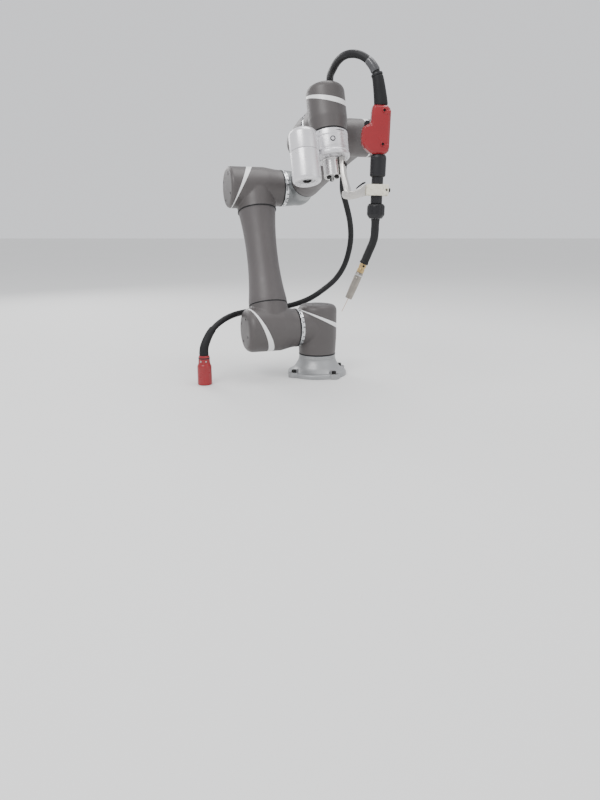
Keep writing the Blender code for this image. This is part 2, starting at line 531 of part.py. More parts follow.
# free cable: out of the handle, over the wrist, down behind the arm and round to its connector
ROUTE = [(0.116, -0.430, 0.728), (0.111, -0.429, 0.746), (0.106, -0.428, 0.759), (0.099, -0.425, 0.773), 
         (0.088, -0.420, 0.786), (0.075, -0.411, 0.796), (0.061, -0.398, 0.801), (0.046, -0.379, 0.802), 
         (0.032, -0.352, 0.796), (0.022, -0.317, 0.784), (0.018, -0.280, 0.774), 
         (0.026, -0.225, 0.737), (0.040, -0.161, 0.703), (0.060, -0.103, 0.664),
         (0.0705, -0.056, 0.6225), (0.070, -0.007, 0.577), (0.072, 0.030, 0.538), (0.086, 0.060, 0.496), (0.099, 0.085, 0.451),
         (0.104, 0.102, 0.405), (0.099, 0.115, 0.360), (0.086, 0.124, 0.317), (0.061, 0.129, 0.277), (0.026, 0.130, 0.246),
         (-0.014, 0.127, 0.219), (-0.049, 0.122, 0.204), (-0.085, 0.115, 0.194), (-0.130, 0.099, 0.188), (-0.174, 0.068, 0.187),
         (-0.214, 0.020, 0.187), (-0.250, -0.034, 0.184), (-0.280, -0.080, 0.172), (-0.304, -0.113, 0.151), (-0.318, -0.132, 0.124)]


def smooth_route(points, step):
    """A Catmull-Rom curve through the points, read at even distances."""
    fine = []
    for i in range(len(points) - 1):
        p0, p1, p2, p3 = points[max(i - 1, 0)], points[i], points[i + 1], points[min(i + 2, len(points) - 1)]
        for k in range(24):
            t = k / 24
            fine.append(0.5 * ((2 * p1) + (p2 - p0) * t + (2 * p0 - 5 * p1 + 4 * p2 - p3) * t * t + (3 * p1 - p0 - 3 * p2 + p3) * t ** 3))
    fine.append(points[-1])
    dist = [0.0]
    for a, b in zip(fine, fine[1:]):
        dist.append(dist[-1] + (b - a).length)
    count = round(dist[-1] / step)
    out, j = [], 0
    for i in range(count + 1):
        want = dist[-1] * i / count
        while j < len(fine) - 2 and dist[j + 1] < want:
            j += 1
        t = (want - dist[j]) / max(dist[j + 1] - dist[j], 1e-9)
        out.append(fine[j].lerp(fine[j + 1], min(max(t, 0.0), 1.0)))
    return out


torch_up = -TORCH.to_3x3().col[2]
start = TORCH.translation + torch_up * GAP
finish = BOOT.translation + Vector((0, 0, 0.0835 + GAP))
ends = [start, start + torch_up * 0.022]
route = ends + [Vector(p) for p in ROUTE] + [finish + Vector((0, 0, 0.018)), finish]
line = smooth_route(route, 0.034)
line[0], line[-1] = start, finish
line.insert(1, start + torch_up * 0.006)
line.insert(-1, finish + Vector((0, 0, 0.006)))
cu = bpy.data.curves.new("torch_cable", "CURVE")
cu.dimensions = "3D"
sp = cu.splines.new("POLY")
sp.points.add(len(line) - 1)
for p, w in zip(sp.points, line):
    p.co = (*w, 1.0)
cu.bevel_depth = CABLE_D / 2
cu.bevel_resolution = 2
cu.use_fill_caps = True
cu.materials.append(BLACK)
cable = bpy.data.objects.new("torch_cable", cu)
COLL.objects.link(cable)
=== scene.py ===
"""Looks of the six-axis collaborative robot arm with its wrist camera and welding torch.

Metres, in the CAD model's frame.  The housings are rebuilt here as smooth castings, the
cable as one long tube cut where the joints are, and every surface gets its own finish.
"""
import math

import bmesh
import bpy
from mathutils import Matrix, Vector


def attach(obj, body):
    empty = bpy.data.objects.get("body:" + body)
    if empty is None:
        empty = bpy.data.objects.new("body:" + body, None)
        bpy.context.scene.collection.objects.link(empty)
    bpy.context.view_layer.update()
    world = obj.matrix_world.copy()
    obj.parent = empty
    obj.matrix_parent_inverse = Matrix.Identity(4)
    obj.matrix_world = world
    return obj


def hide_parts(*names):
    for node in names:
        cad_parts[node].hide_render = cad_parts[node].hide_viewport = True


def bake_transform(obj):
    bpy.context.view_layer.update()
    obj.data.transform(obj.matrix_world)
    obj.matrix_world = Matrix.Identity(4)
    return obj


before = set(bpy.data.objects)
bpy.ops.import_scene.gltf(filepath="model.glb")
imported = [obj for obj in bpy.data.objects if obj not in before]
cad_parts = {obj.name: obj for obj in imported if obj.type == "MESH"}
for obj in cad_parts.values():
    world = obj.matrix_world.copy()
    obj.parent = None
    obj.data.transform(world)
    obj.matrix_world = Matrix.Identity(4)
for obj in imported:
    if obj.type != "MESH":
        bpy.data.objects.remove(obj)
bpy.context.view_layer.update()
COLL = bpy.context.scene.collection

# ---------------------------------------------------------------- driving dimensions
D1, A2, A3, D4, D5, D6 = 0.1452, 0.429, 0.4115, 0.1223, 0.106, 0.1015
ARM_OFFSET, FORE_OFFSET = 0.147, 0.0080
YAW, LEAN, RISE, NOD, ROLL, TOOL_TURN = 20.5, 20.0, 14.2, 17.5, -0.5, 16.0
GAP, SEAL, RING = 0.0003, 0.0035, 0.0100
MODULES = {
    "j1": dict(R=0.0580, Rr=0.0550, out=0.0790, cap=0.0680, Rb=0.0550, Lb=0.0, zs=0.0270, slant=24.0, turn=0, wn=0.0030, ww=0.0150, rim=0.018),
    "j2": dict(R=0.0650, Rr=0.0565, out=0.0730, cap=0.0810, Rb=0.0565, Lb=0.0730, zs=0.0415, slant=25.5, turn=0, wn=0.0030, ww=0.0180, rim=0.020),
    "j3": dict(R=0.0595, Rr=0.0525, out=0.0790, cap=0.0840, Rb=0.0570, Lb=0.0720, zs=0.0445, slant=27.0, turn=0, wn=0.0030, ww=0.0190, rim=0.010),
    "j4": dict(R=0.0440, Rr=0.0400, out=0.0420, cap=0.0640, Rb=0.0410, Lb=0.0590, zs=0.0290, slant=8.0, turn=-60, wn=0.0030, ww=0.0150, rim=0.014),
    "j5": dict(R=0.0440, Rr=0.0400, out=0.0420, cap=0.0640, Rb=0.0400, Lb=0.0, zs=0.0290, slant=12.0, turn=0, wn=0.0025, ww=0.0120, rim=0.014),
    "j6": dict(R=0.0440, Rr=0.0400, out=0.0425, cap=0.0620, Rb=0.0400, Lb=0.0, zs=0.0300, slant=20.5, turn=24, wn=0.0035, ww=0.0125, rim=0.014),
}
STACK = SEAL + RING + 3 * GAP
MODULES["j1"]["Lb"] = ARM_OFFSET - MODULES["j2"]["out"] - STACK
MODULES["j5"]["Lb"] = D4 - FORE_OFFSET - MODULES["j4"]["out"] - STACK
MODULES["j6"]["Lb"] = D5 - MODULES["j5"]["out"] - STACK
CAMERA_R, CAMERA_AT, CABLE_D = 0.0320, 0.0755, 0.0170


def deg(a):
    return math.radians(a)


# ---------------------------------------------------------------- camera
view = bpy.data.cameras.new("camera")
view.sensor_fit, view.sensor_height, view.sensor_width = "VERTICAL", 36.0, 27.0
view.lens = 651.03 / 800 * 36
eye = bpy.data.objects.new("camera", view)
COLL.objects.link(eye)
eye.location = (-0.0522, -1.9593, 0.4427)
eye.rotation_euler = (deg(90 - 15.0913), 0, 0)
bpy.context.scene.camera = eye

# ---------------------------------------------------------------- directions and places
UP = Vector((0, 0, 1))
SIDE = Vector((-math.cos(deg(YAW)), -math.sin(deg(YAW)), 0))
FRONT = Vector((math.sin(deg(YAW)), -math.cos(deg(YAW)), 0))
UPPER = -FRONT * math.sin(deg(LEAN)) + UP * math.cos(deg(LEAN))
FORE = FRONT * math.cos(deg(RISE)) + UP * math.sin(deg(RISE))
FIFTH = FRONT * math.cos(deg(NOD)) + UP * math.sin(deg(NOD))
DOWN = -UP * math.cos(deg(NOD)) + FRONT * math.sin(deg(NOD))
SIXTH = DOWN * math.cos(deg(ROLL)) - SIDE * math.sin(deg(ROLL))
SHOULDER = UP * D1
ELBOW = SHOULDER + UPPER * A2
WRIST = ELBOW + FORE * A3
CROSS5 = WRIST + SIDE * D4
CROSS6 = CROSS5 + FIFTH * D5


def place_frame(origin, x, z):
    z = Vector(z).normalized()
    x = (Vector(x) - Vector(x).dot(z) * z).normalized()
    m = Matrix((x, z.cross(x), z)).transposed().to_4x4()
    m.translation = Vector(origin)
    return m


PLACE = {
    "j1": place_frame(SHOULDER, SIDE, UP),
    "j2": place_frame(SHOULDER + SIDE * ARM_OFFSET, UPPER, SIDE),
    "j3": place_frame(ELBOW + SIDE * ARM_OFFSET, -UPPER, SIDE),
    "j4": place_frame(WRIST + SIDE * FORE_OFFSET, -FORE, -SIDE),
    "j5": place_frame(CROSS5, -SIDE, -FIFTH),
    "j6": place_frame(CROSS6, -FIFTH, -SIXTH),
}


# ---------------------------------------------------------------- finishes
def finish(name, colour, rough, metal=0.0, vary=0.05, blotch=7.0, rvary=0.06, rscale=40.0, grain=700.0, bump=0.05, depth=0.0003,
           stretch=(1, 1, 1), edge_highlight=0.0, edge_highlight_colour=(0.6, 0.6, 0.6), coat=0.0, specular=0.5, second=None, second_scale=3.0, second_cut=(0.55, 0.75), alpha=None):
    """Principled finish with blotchy colour, uneven gloss, a fine grain and painted highlights on convex edges, broken
    up by noise.
    """
    m = bpy.data.materials.new(name)
    m.use_nodes = True
    nt = m.node_tree
    n, l = nt.nodes, nt.links
    p = n["Principled BSDF"]
    p.inputs["Metallic"].default_value = metal
    p.inputs["Specular IOR Level"].default_value = specular
    p.inputs["Coat Weight"].default_value = coat
    p.inputs["Coat Roughness"].default_value = 0.15
    where = n.new("ShaderNodeTexCoord")
    a = n.new("ShaderNodeTexNoise")
    a.inputs["Scale"].default_value, a.inputs["Detail"].default_value, a.inputs["Roughness"].default_value = blotch, 6.0, 0.6
    l.new(where.outputs["Object"], a.inputs["Vector"])
    ramp = n.new("ShaderNodeValToRGB")
    ramp.color_ramp.elements[0].position, ramp.color_ramp.elements[1].position = 0.3, 0.7
    ramp.color_ramp.elements[0].color = (*[c * (1 - vary) for c in colour], 1)
    ramp.color_ramp.elements[1].color = (*[min(1, c * (1 + vary)) for c in colour], 1)
    l.new(a.outputs["Fac"], ramp.inputs["Fac"])
    out = ramp.outputs["Color"]
    if second:
        s = n.new("ShaderNodeTexNoise")
        s.inputs["Scale"].default_value, s.inputs["Detail"].default_value = second_scale, 8.0
        l.new(where.outputs["Object"], s.inputs["Vector"])
        sr = n.new("ShaderNodeMapRange")
        sr.inputs["From Min"].default_value, sr.inputs["From Max"].default_value = second_cut
        l.new(s.outputs["Fac"], sr.inputs["Value"])
        mix = n.new("ShaderNodeMix")
        mix.data_type = "RGBA"
        l.new(sr.outputs["Result"], mix.inputs["Factor"])
        l.new(out, mix.inputs["A"])
        mix.inputs["B"].default_value = (*second, 1)
        out = mix.outputs["Result"]
    # painted highlight: convex edges, found by pointiness, are lightened towards a lighter edge colour in noisy patches
    if edge_highlight:
        g = n.new("ShaderNodeNewGeometry")
        wr = n.new("ShaderNodeMapRange")
        wr.inputs["From Min"].default_value, wr.inputs["From Max"].default_value = 0.53, 0.62
        wr.inputs["To Max"].default_value = edge_highlight
        l.new(g.outputs["Pointiness"], wr.inputs["Value"])
        wn = n.new("ShaderNodeTexNoise")
        wn.inputs["Scale"].default_value, wn.inputs["Detail"].default_value = 60.0, 6.0
        l.new(where.outputs["Object"], wn.inputs["Vector"])
        mul = n.new("ShaderNodeMath")
        mul.operation = "MULTIPLY"
        l.new(wr.outputs["Result"], mul.inputs[0])
        l.new(wn.outputs["Fac"], mul.inputs[1])
        mix = n.new("ShaderNodeMix")
        mix.data_type = "RGBA"
        l.new(mul.outputs["Value"], mix.inputs["Factor"])
        l.new(out, mix.inputs["A"])
        mix.inputs["B"].default_value = (*edge_highlight_colour, 1)
        out = mix.outputs["Result"]
    l.new(out, p.inputs["Base Color"])
    b = n.new("ShaderNodeTexNoise")
    b.inputs["Scale"].default_value, b.inputs["Detail"].default_value = rscale, 7.0
    l.new(where.outputs["Object"], b.inputs["Vector"])
    rr = n.new("ShaderNodeMapRange")
    rr.inputs["From Min"].default_value, rr.inputs["From Max"].default_value = 0.3, 0.7
    rr.inputs["To Min"].default_value, rr.inputs["To Max"].default_value = max(0.02, rough - rvary), min(1, rough + rvary)
    l.new(b.outputs["Fac"], rr.inputs["Value"])
    l.new(rr.outputs["Result"], p.inputs["Roughness"])
    mp = n.new("ShaderNodeMapping")
    mp.inputs["Scale"].default_value = stretch
    l.new(where.outputs["Object"], mp.inputs["Vector"])
    c = n.new("ShaderNodeTexNoise")
    c.inputs["Scale"].default_value, c.inputs["Detail"].default_value = grain, 3.0
    l.new(mp.outputs["Vector"], c.inputs["Vector"])
    bp = n.new("ShaderNodeBump")
    bp.inputs["Strength"].default_value, bp.inputs["Distance"].default_value = bump, depth
    l.new(c.outputs["Fac"], bp.inputs["Height"])
    l.new(bp.outputs["Normal"], p.inputs["Normal"])
    return m


# the lighter edge colours given below are painted highlights on each part's convex edges
SHELL = finish("paint_warm_grey", (0.088, 0.080, 0.079), 0.44, 0.12, specular=0.42, vary=0.07, rvary=0.05, grain=1100, bump=0.10, edge_highlight=0.30, edge_highlight_colour=(0.24, 0.22, 0.21))
SHELL2 = finish("paint_warm_grey_tube", (0.098, 0.089, 0.089), 0.46, 0.12, specular=0.42, vary=0.06, rvary=0.05, grain=1100, bump=0.10, edge_highlight=0.2, edge_highlight_colour=(0.24, 0.22, 0.21))
INLAY = finish("light_strip_white", (0.84, 0.84, 0.84), 0.32, 0.0, vary=0.02, rvary=0.08, grain=500, bump=0.03, coat=0.2)
RUBBER = finish("rubber_black", (0.010, 0.010, 0.011), 0.60, 0.0, vary=0.25, grain=900, bump=0.2, specular=0.28)
TURNED = finish("aluminium_turned", (0.66, 0.67, 0.68), 0.24, 1.0, vary=0.06, rvary=0.10, grain=6.0, stretch=(3, 3, 160), bump=0.25, depth=0.0004)
CASTING = finish("casting_silver_grey", (0.185, 0.192, 0.195), 0.40, 0.50, vary=0.06, rvary=0.07, grain=500, bump=0.16, edge_highlight=0.4, edge_highlight_colour=(0.5, 0.5, 0.5), coat=0.1)
BASE = finish("casting_base_silver", (0.33, 0.335, 0.34), 0.44, 0.55, vary=0.08, rvary=0.09, grain=420, bump=0.22, edge_highlight=0.5, edge_highlight_colour=(0.7, 0.7, 0.7), second=(0.30, 0.30, 0.30), second_scale=9.0, second_cut=(0.60, 0.80))
WHITE = finish("paint_silver_white", (0.72, 0.71, 0.73), 0.30, 0.45, vary=0.025, rvary=0.07, grain=900, bump=0.08, coat=0.25)
MACHINED = finish("aluminium_machined", (0.68, 0.67, 0.66), 0.22, 1.0, vary=0.06, rvary=0.09, grain=7.0, stretch=(4, 4, 110), bump=0.22, depth=0.0004)
PLATE = finish("aluminium_plate", (0.60, 0.58, 0.55), 0.36, 0.85, vary=0.08, rvary=0.10, grain=60.0, stretch=(1, 14, 1), bump=0.14, edge_highlight=0.4, edge_highlight_colour=(0.8, 0.8, 0.78))
CREAM = finish("clamp_cream_blasted", (0.72, 0.69, 0.58), 0.55, 0.0, vary=0.10, blotch=160.0, rvary=0.10, grain=1400, bump=0.35, second=(0.56, 0.52, 0.42), second_scale=220.0, second_cut=(0.50, 0.72))
RED = finish("plastic_red", (0.270, 0.012, 0.017), 0.32, 0.0, specular=0.45, vary=0.10, blotch=14.0, rvary=0.08, grain=950, bump=0.10, edge_highlight=0.3, edge_highlight_colour=(0.50, 0.09, 0.09), coat=0.15)
NYLON = finish("nylon_black", (0.012, 0.012, 0.014), 0.45, 0.0, specular=0.35, vary=0.2, rvary=0.10, grain=800, bump=0.18, edge_highlight=0.25, edge_highlight_colour=(0.08, 0.08, 0.08))
CABLE = finish("cable_jacket_black", (0.011, 0.011, 0.012), 0.52, 0.0, specular=0.30, vary=0.25, blotch=22.0, rvary=0.12, rscale=26.0, grain=420, bump=0.22, depth=0.0005)
TAPE = finish("tape_grey_glossy", (0.060, 0.060, 0.064), 0.22, 0.0, vary=0.3, blotch=60.0, rvary=0.08, grain=90, bump=0.25, depth=0.0004, coat=0.4)
NICKEL = finish("nickel_worn", (0.30, 0.275, 0.245), 0.34, 1.0, vary=0.16, blotch=45.0, rvary=0.12, grain=9.0, stretch=(4, 4, 90), bump=0.22, second=(0.10, 0.085, 0.07), second_scale=60.0, second_cut=(0.58, 0.80))
BRASS = finish("brass_tarnished", (0.50, 0.36, 0.17), 0.32, 1.0, vary=0.14, blotch=60.0, rvary=0.12, grain=9.0, stretch=(4, 4, 90), bump=0.2, second=(0.20, 0.13, 0.06), second_scale=80.0, second_cut=(0.56, 0.80))
STEEL = finish("steel_zinc", (0.50, 0.50, 0.49), 0.34, 1.0, vary=0.1, blotch=60.0, rvary=0.12, grain=600, bump=0.12)
OXIDE = finish("steel_black_oxide", (0.022, 0.021, 0.021), 0.36, 0.7, vary=0.3, blotch=80.0, rvary=0.12, grain=700, bump=0.14)
DARK = finish("marking_dark", (0.030, 0.030, 0.032), 0.5, 0.0, vary=0.1, rvary=0.05, grain=600, bump=0.05)
GLASS = finish("lens_glass_dark", (0.010, 0.011, 0.016), 0.05, 0.0, vary=0.1, rvary=0.02, grain=300, bump=0.01, coat=1.0, specular=0.8)
PALE = finish("lens_ring_grey", (0.42, 0.42, 0.43), 0.40, 0.2, vary=0.06, rvary=0.06, grain=800, bump=0.08)
GEAR = finish("gear_steel_ground", (0.45, 0.45, 0.46), 0.28, 1.0, vary=0.06, rvary=0.08, grain=8.0, stretch=(3, 3, 120), bump=0.2)
STATOR = finish("stator_copper", (0.48, 0.23, 0.10), 0.42, 0.9, vary=0.15, blotch=50.0, rvary=0.1, grain=60.0, stretch=(1, 1, 8), bump=0.4)
WIRE = finish("wire_copper_clad", (0.62, 0.42, 0.30), 0.25, 1.0, vary=0.06, rvary=0.05, grain=400, bump=0.05)


# ---------------------------------------------------------------- shape tools
def to_mesh(bm, name="m"):
    me = bpy.data.meshes.new(name)
    bm.to_mesh(me)
    bm.free()
    return me


def lathe(profile, n, loop=False):
    bm = bmesh.new()
    rings = []
    for r, z in profile:
        if r < 1e-9:
            rings.append([bm.verts.new((0, 0, z))])
        else:
            rings.append([bm.verts.new((r * math.cos(2 * math.pi * k / n), r * math.sin(2 * math.pi * k / n), z)) for k in range(n)])
    pairs = list(zip(rings, rings[1:])) + ([(rings[-1], rings[0])] if loop else [])
    for a, b in pairs:
        for k in range(n):
            j = (k + 1) % n
            face = []
            for v in (a[k % len(a)], a[j % len(a)], b[j % len(b)], b[k % len(b)]):
                if v not in face:
                    face.append(v)
            if len(face) > 2:
                bm.faces.new(face)
    bmesh.ops.recalc_face_normals(bm, faces=bm.faces)
    return to_mesh(bm)


def soft(points, r=0.0008, loop=False, steps=4):
    """The profile with its corners rounded."""
    out, n = [], len(points)
    for i, p in enumerate(points):
        if not loop and i in (0, n - 1):
            out.append(p)
            continue
        a, v, b = Vector(points[i - 1]), Vector(p), Vector(points[(i + 1) % n])
        la, lb = (a - v).length, (b - v).length
        d = min(r, 0.45 * la, 0.45 * lb)
        if d < 1e-6:
            out.append(p)
            continue
        p1, p2 = v + (a - v) * (d / la), v + (b - v) * (d / lb)
        for k in range(steps + 1):
            t = k / steps
            q = p1 * (1 - t) ** 2 + v * 2 * t * (1 - t) + p2 * t * t
            out.append((max(q.x, 0.0), q.y))
    return out


def block(x0, x1, y0, y1, z0, z1, bevel=0.0, steps=3):
    bm = bmesh.new()
    bmesh.ops.create_cube(bm, size=1.0)
    for v in bm.verts:
        v.co = Vector((x1 if v.co.x > 0 else x0, y1 if v.co.y > 0 else y0, z1 if v.co.z > 0 else z0))
    if bevel:
        bmesh.ops.bevel(bm, geom=bm.edges[:], offset=bevel, segments=steps, affect="EDGES", profile=0.5)
    return to_mesh(bm)


def moved(me, m):
    me.transform(m)
    if m.determinant() < 0:
        me.flip_normals()
    return me


def plate(points, thick, bevel=0.0, steps=3):
    bm = bmesh.new()
    f = bm.faces.new([bm.verts.new((x, y, -thick / 2)) for x, y in points])
    out = bmesh.ops.extrude_face_region(bm, geom=[f])
    bmesh.ops.translate(bm, verts=[v for v in out["geom"] if isinstance(v, bmesh.types.BMVert)], vec=(0, 0, thick))
    bmesh.ops.recalc_face_normals(bm, faces=bm.faces)
    if bevel:
        bmesh.ops.bevel(bm, geom=bm.edges[:], offset=bevel, segments=steps, affect="EDGES", profile=0.5)
    return to_mesh(bm)


def evaluated(o):
    bpy.context.view_layer.update()
    return bpy.data.meshes.new_from_object(o.evaluated_get(bpy.context.evaluated_depsgraph_get()))


def combine(a, b, how):
    oa, ob = bpy.data.objects.new("a", a), bpy.data.objects.new("b", b)
    COLL.objects.link(oa)
    COLL.objects.link(ob)
    mod = oa.modifiers.new("cut", "BOOLEAN")
    mod.operation, mod.solver, mod.object = how, "MANIFOLD", ob
    me = evaluated(oa)
    if not len(me.polygons):
        mod.solver = "EXACT"
        me = evaluated(oa)
    bpy.data.objects.remove(oa)
    bpy.data.objects.remove(ob)
    return me


def union(a, b):
    return combine(a, b, "UNION")


def cut(a, b):
    return combine(a, b, "DIFFERENCE")


def keep(a, b):
    return combine(a, b, "INTERSECT")


def cylinder(r, z0, z1, n=48, r1=None):
    return lathe([(0, z0), (r, z0), (r if r1 is None else r1, z1), (0, z1)], n)


def along_x():
    return Matrix.Rotation(math.radians(90), 4, "Y")


def half(point, normal, size=0.4):
    n = Vector(normal).normalized()
    q = n.to_track_quat("Z", "Y").to_matrix().to_4x4()
    return moved(block(-size, size, -size * 0.93, size * 1.07, -2 * size, 0), Matrix.Translation(point) @ q)


def organic(me, voxel, times, factor=0.5):
    """One even skin over the shape, with its inside corners filled and its edges eased."""
    o = bpy.data.objects.new("o", me)
    COLL.objects.link(o)
    r = o.modifiers.new("skin", "REMESH")
    r.mode, r.voxel_size = "VOXEL", voxel
    s = o.modifiers.new("ease", "SMOOTH")
    s.factor, s.iterations = factor, times
    out = evaluated(o)
    bpy.data.objects.remove(o)
    return out


def join(meshes):
    bm = bmesh.new()
    for me in meshes:
        bm.from_mesh(me)
    return to_mesh(bm)


def show(name, me, place, mat, body, stands_for=(), smooth=32):
    me.name = name
    o = bpy.data.objects.new(name, me)
    COLL.objects.link(o)
    o.matrix_world = place
    me.materials.clear()
    me.materials.append(mat)
    me.shade_smooth()
    me.set_sharp_from_angle(angle=math.radians(smooth))
    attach(o, body)
    if stands_for:
        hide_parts(*stands_for)
    return o


def screw(r, h, socket=0.5, n=32):
    """A socket head standing on z = 0, with its hexagonal recess."""
    head = lathe(soft([(0, 0), (r, 0), (r, h), (0, h)], 0.0005), n)
    return cut(head, cylinder(r * socket, h * 0.35, h + 0.01, 6))


def sweep(path, radius, n=24, caps=True):
    """A round bar along a path; radius is a number or one for each point."""
    bm = bmesh.new()
    rings, u = [], None
    for i, p in enumerate(path):
        t = (path[min(i + 1, len(path) - 1)] - path[max(i - 1, 0)]).normalized()
        if u is None:
            u = t.orthogonal().normalized()
        u = (u - t * u.dot(t)).normalized()
        v = t.cross(u)
        r = radius[i] if isinstance(radius, (list, tuple)) else radius
        rings.append([bm.verts.new(p + r * (u * math.cos(2 * math.pi * k / n) + v * math.sin(2 * math.pi * k / n))) for k in range(n)])
    for a, b in zip(rings, rings[1:]):
        for k in range(n):
            bm.faces.new([a[k], a[(k + 1) % n], b[(k + 1) % n], b[k]])
    if caps:
        bm.faces.new(rings[0])
        bm.faces.new(rings[-1])
    bmesh.ops.recalc_face_normals(bm, faces=bm.faces)
    return to_mesh(bm)


# ---------------------------------------------------------------- cable: route as in the CAD
HANDLE_H, HALF = 0.1000, 0.0175
TORCH = place_frame((0.1235, -0.4300, 0.6913), (-1, 0, 0), (-0.0210, 0, -1))
BOOT = Matrix.Translation((-0.3250, -0.1400, 0.0))
ROUTE = [(0.1184, -0.430, 0.728), (0.1155, -0.429, 0.746), (0.1113, -0.428, 0.759), (0.1035, -0.425, 0.773), 
         (0.0910, -0.420, 0.7865), (0.0765, -0.411, 0.796), (0.061, -0.398, 0.801), (0.046, -0.379, 0.802), 
         (0.032, -0.352, 0.796), (0.022, -0.317, 0.784), (0.018, -0.280, 0.774), 
         (0.026, -0.225, 0.737), (0.040, -0.161, 0.703), (0.060, -0.103, 0.664),
         (0.0705, -0.056, 0.6225), (0.070, -0.007, 0.577), (0.072, 0.030, 0.538), (0.086, 0.060, 0.496), (0.099, 0.085, 0.451),
         (0.104, 0.102, 0.405), (0.099, 0.115, 0.360), (0.086, 0.124, 0.317), (0.061, 0.129, 0.277), (0.026, 0.130, 0.246),
         (-0.014, 0.127, 0.219), (-0.049, 0.122, 0.204), (-0.085, 0.115, 0.194), (-0.130, 0.099, 0.188), (-0.174, 0.068, 0.187),
         (-0.214, 0.020, 0.187), (-0.250, -0.034, 0.184), (-0.280, -0.080, 0.172), (-0.304, -0.113, 0.151), (-0.318, -0.132, 0.124)]


def smooth_route(points, step):
    fine = []
    for i in range(len(points) - 1):
        p0, p1, p2, p3 = points[max(i - 1, 0)], points[i], points[i + 1], points[min(i + 2, len(points) - 1)]
        for k in range(24):
            t = k / 24
            fine.append(0.5 * ((2 * p1) + (p2 - p0) * t + (2 * p0 - 5 * p1 + 4 * p2 - p3) * t * t + (3 * p1 - p0 - 3 * p2 + p3) * t ** 3))
    fine.append(points[-1])
    dist = [0.0]
    for a, b in zip(fine, fine[1:]):
        dist.append(dist[-1] + (b - a).length)
    count = round(dist[-1] / step)
    out, j = [], 0
    for i in range(count + 1):
        want = dist[-1] * i / count
        while j < len(fine) - 2 and dist[j + 1] < want:
            j += 1
        t = (want - dist[j]) / max(dist[j + 1] - dist[j], 1e-9)
        out.append(fine[j].lerp(fine[j + 1], min(max(t, 0.0), 1.0)))
    return out


torch_up = -TORCH.to_3x3().col[2]
start = TORCH.translation + torch_up * GAP
finish_at = BOOT.translation + Vector((0, 0, 0.0835 + GAP))
route = [start, start + torch_up * 0.018 - Vector((0.0024, 0, 0))] + [Vector(p) for p in ROUTE] + [finish_at + Vector((0, 0, 0.018)), finish_at]
STEP = 0.005
line = smooth_route(route, STEP)
# the centre line is smoothed by six passes of a quarter-half-quarter average of neighbouring points
for _ in range(6):
    line = [line[0]] + [0.25 * a + 0.5 * b + 0.25 * c for a, b, c in zip(line, line[1:], line[2:])] + [line[-1]]
run = [0.0]
for a, b in zip(line, line[1:]):
    run.append(run[-1] + (b - a).length)
TOTAL = run[-1]


def at(s):
    """Index of the centre line's point nearest to distance s."""
    return min(range(len(run)), key=lambda i: abs(run[i] - s))


# where the cable passes from one body to the next, and the stretch in which it turns
CUTS = [("tool", "wrist_2", 0.0, 0.31, 0.125), ("wrist_2", "wrist_1", 0.31, 0.46, None), ("wrist_1", "forearm", 0.46, 0.60, None),
        ("forearm", "upper_arm", 0.60, 0.92, None), ("upper_arm", "shoulder", 0.92, 1.17, None), ("shoulder", "base", 1.17, TOTAL, None)]
for number, (a, b, s0, s1, first) in enumerate(CUTS):
    i0, i1 = at(s0), at(s1)
    pts = line[i0:i1 + 1]
    me = sweep(pts, CABLE_D / 2, 28)
    me.materials.append(CABLE)
    me.shade_smooth()
    me.set_sharp_from_angle(angle=math.radians(50))
    o = bpy.data.objects.new("torch_cable_%d" % (number + 1), me)
    COLL.objects.link(o)
    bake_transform(o)
    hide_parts("torch_cable")


# ---------------------------------------------------------------- joint housings
def spots(count, radius, z, phase, item):
    out = []
    for i in range(count):
        a = deg(phase + 360 / count * i)
        out.append(moved(item.copy(), Matrix.Translation((radius * math.cos(a), radius * math.sin(a), z)) @ Matrix.Rotation(a, 4, "Z")))
    return out


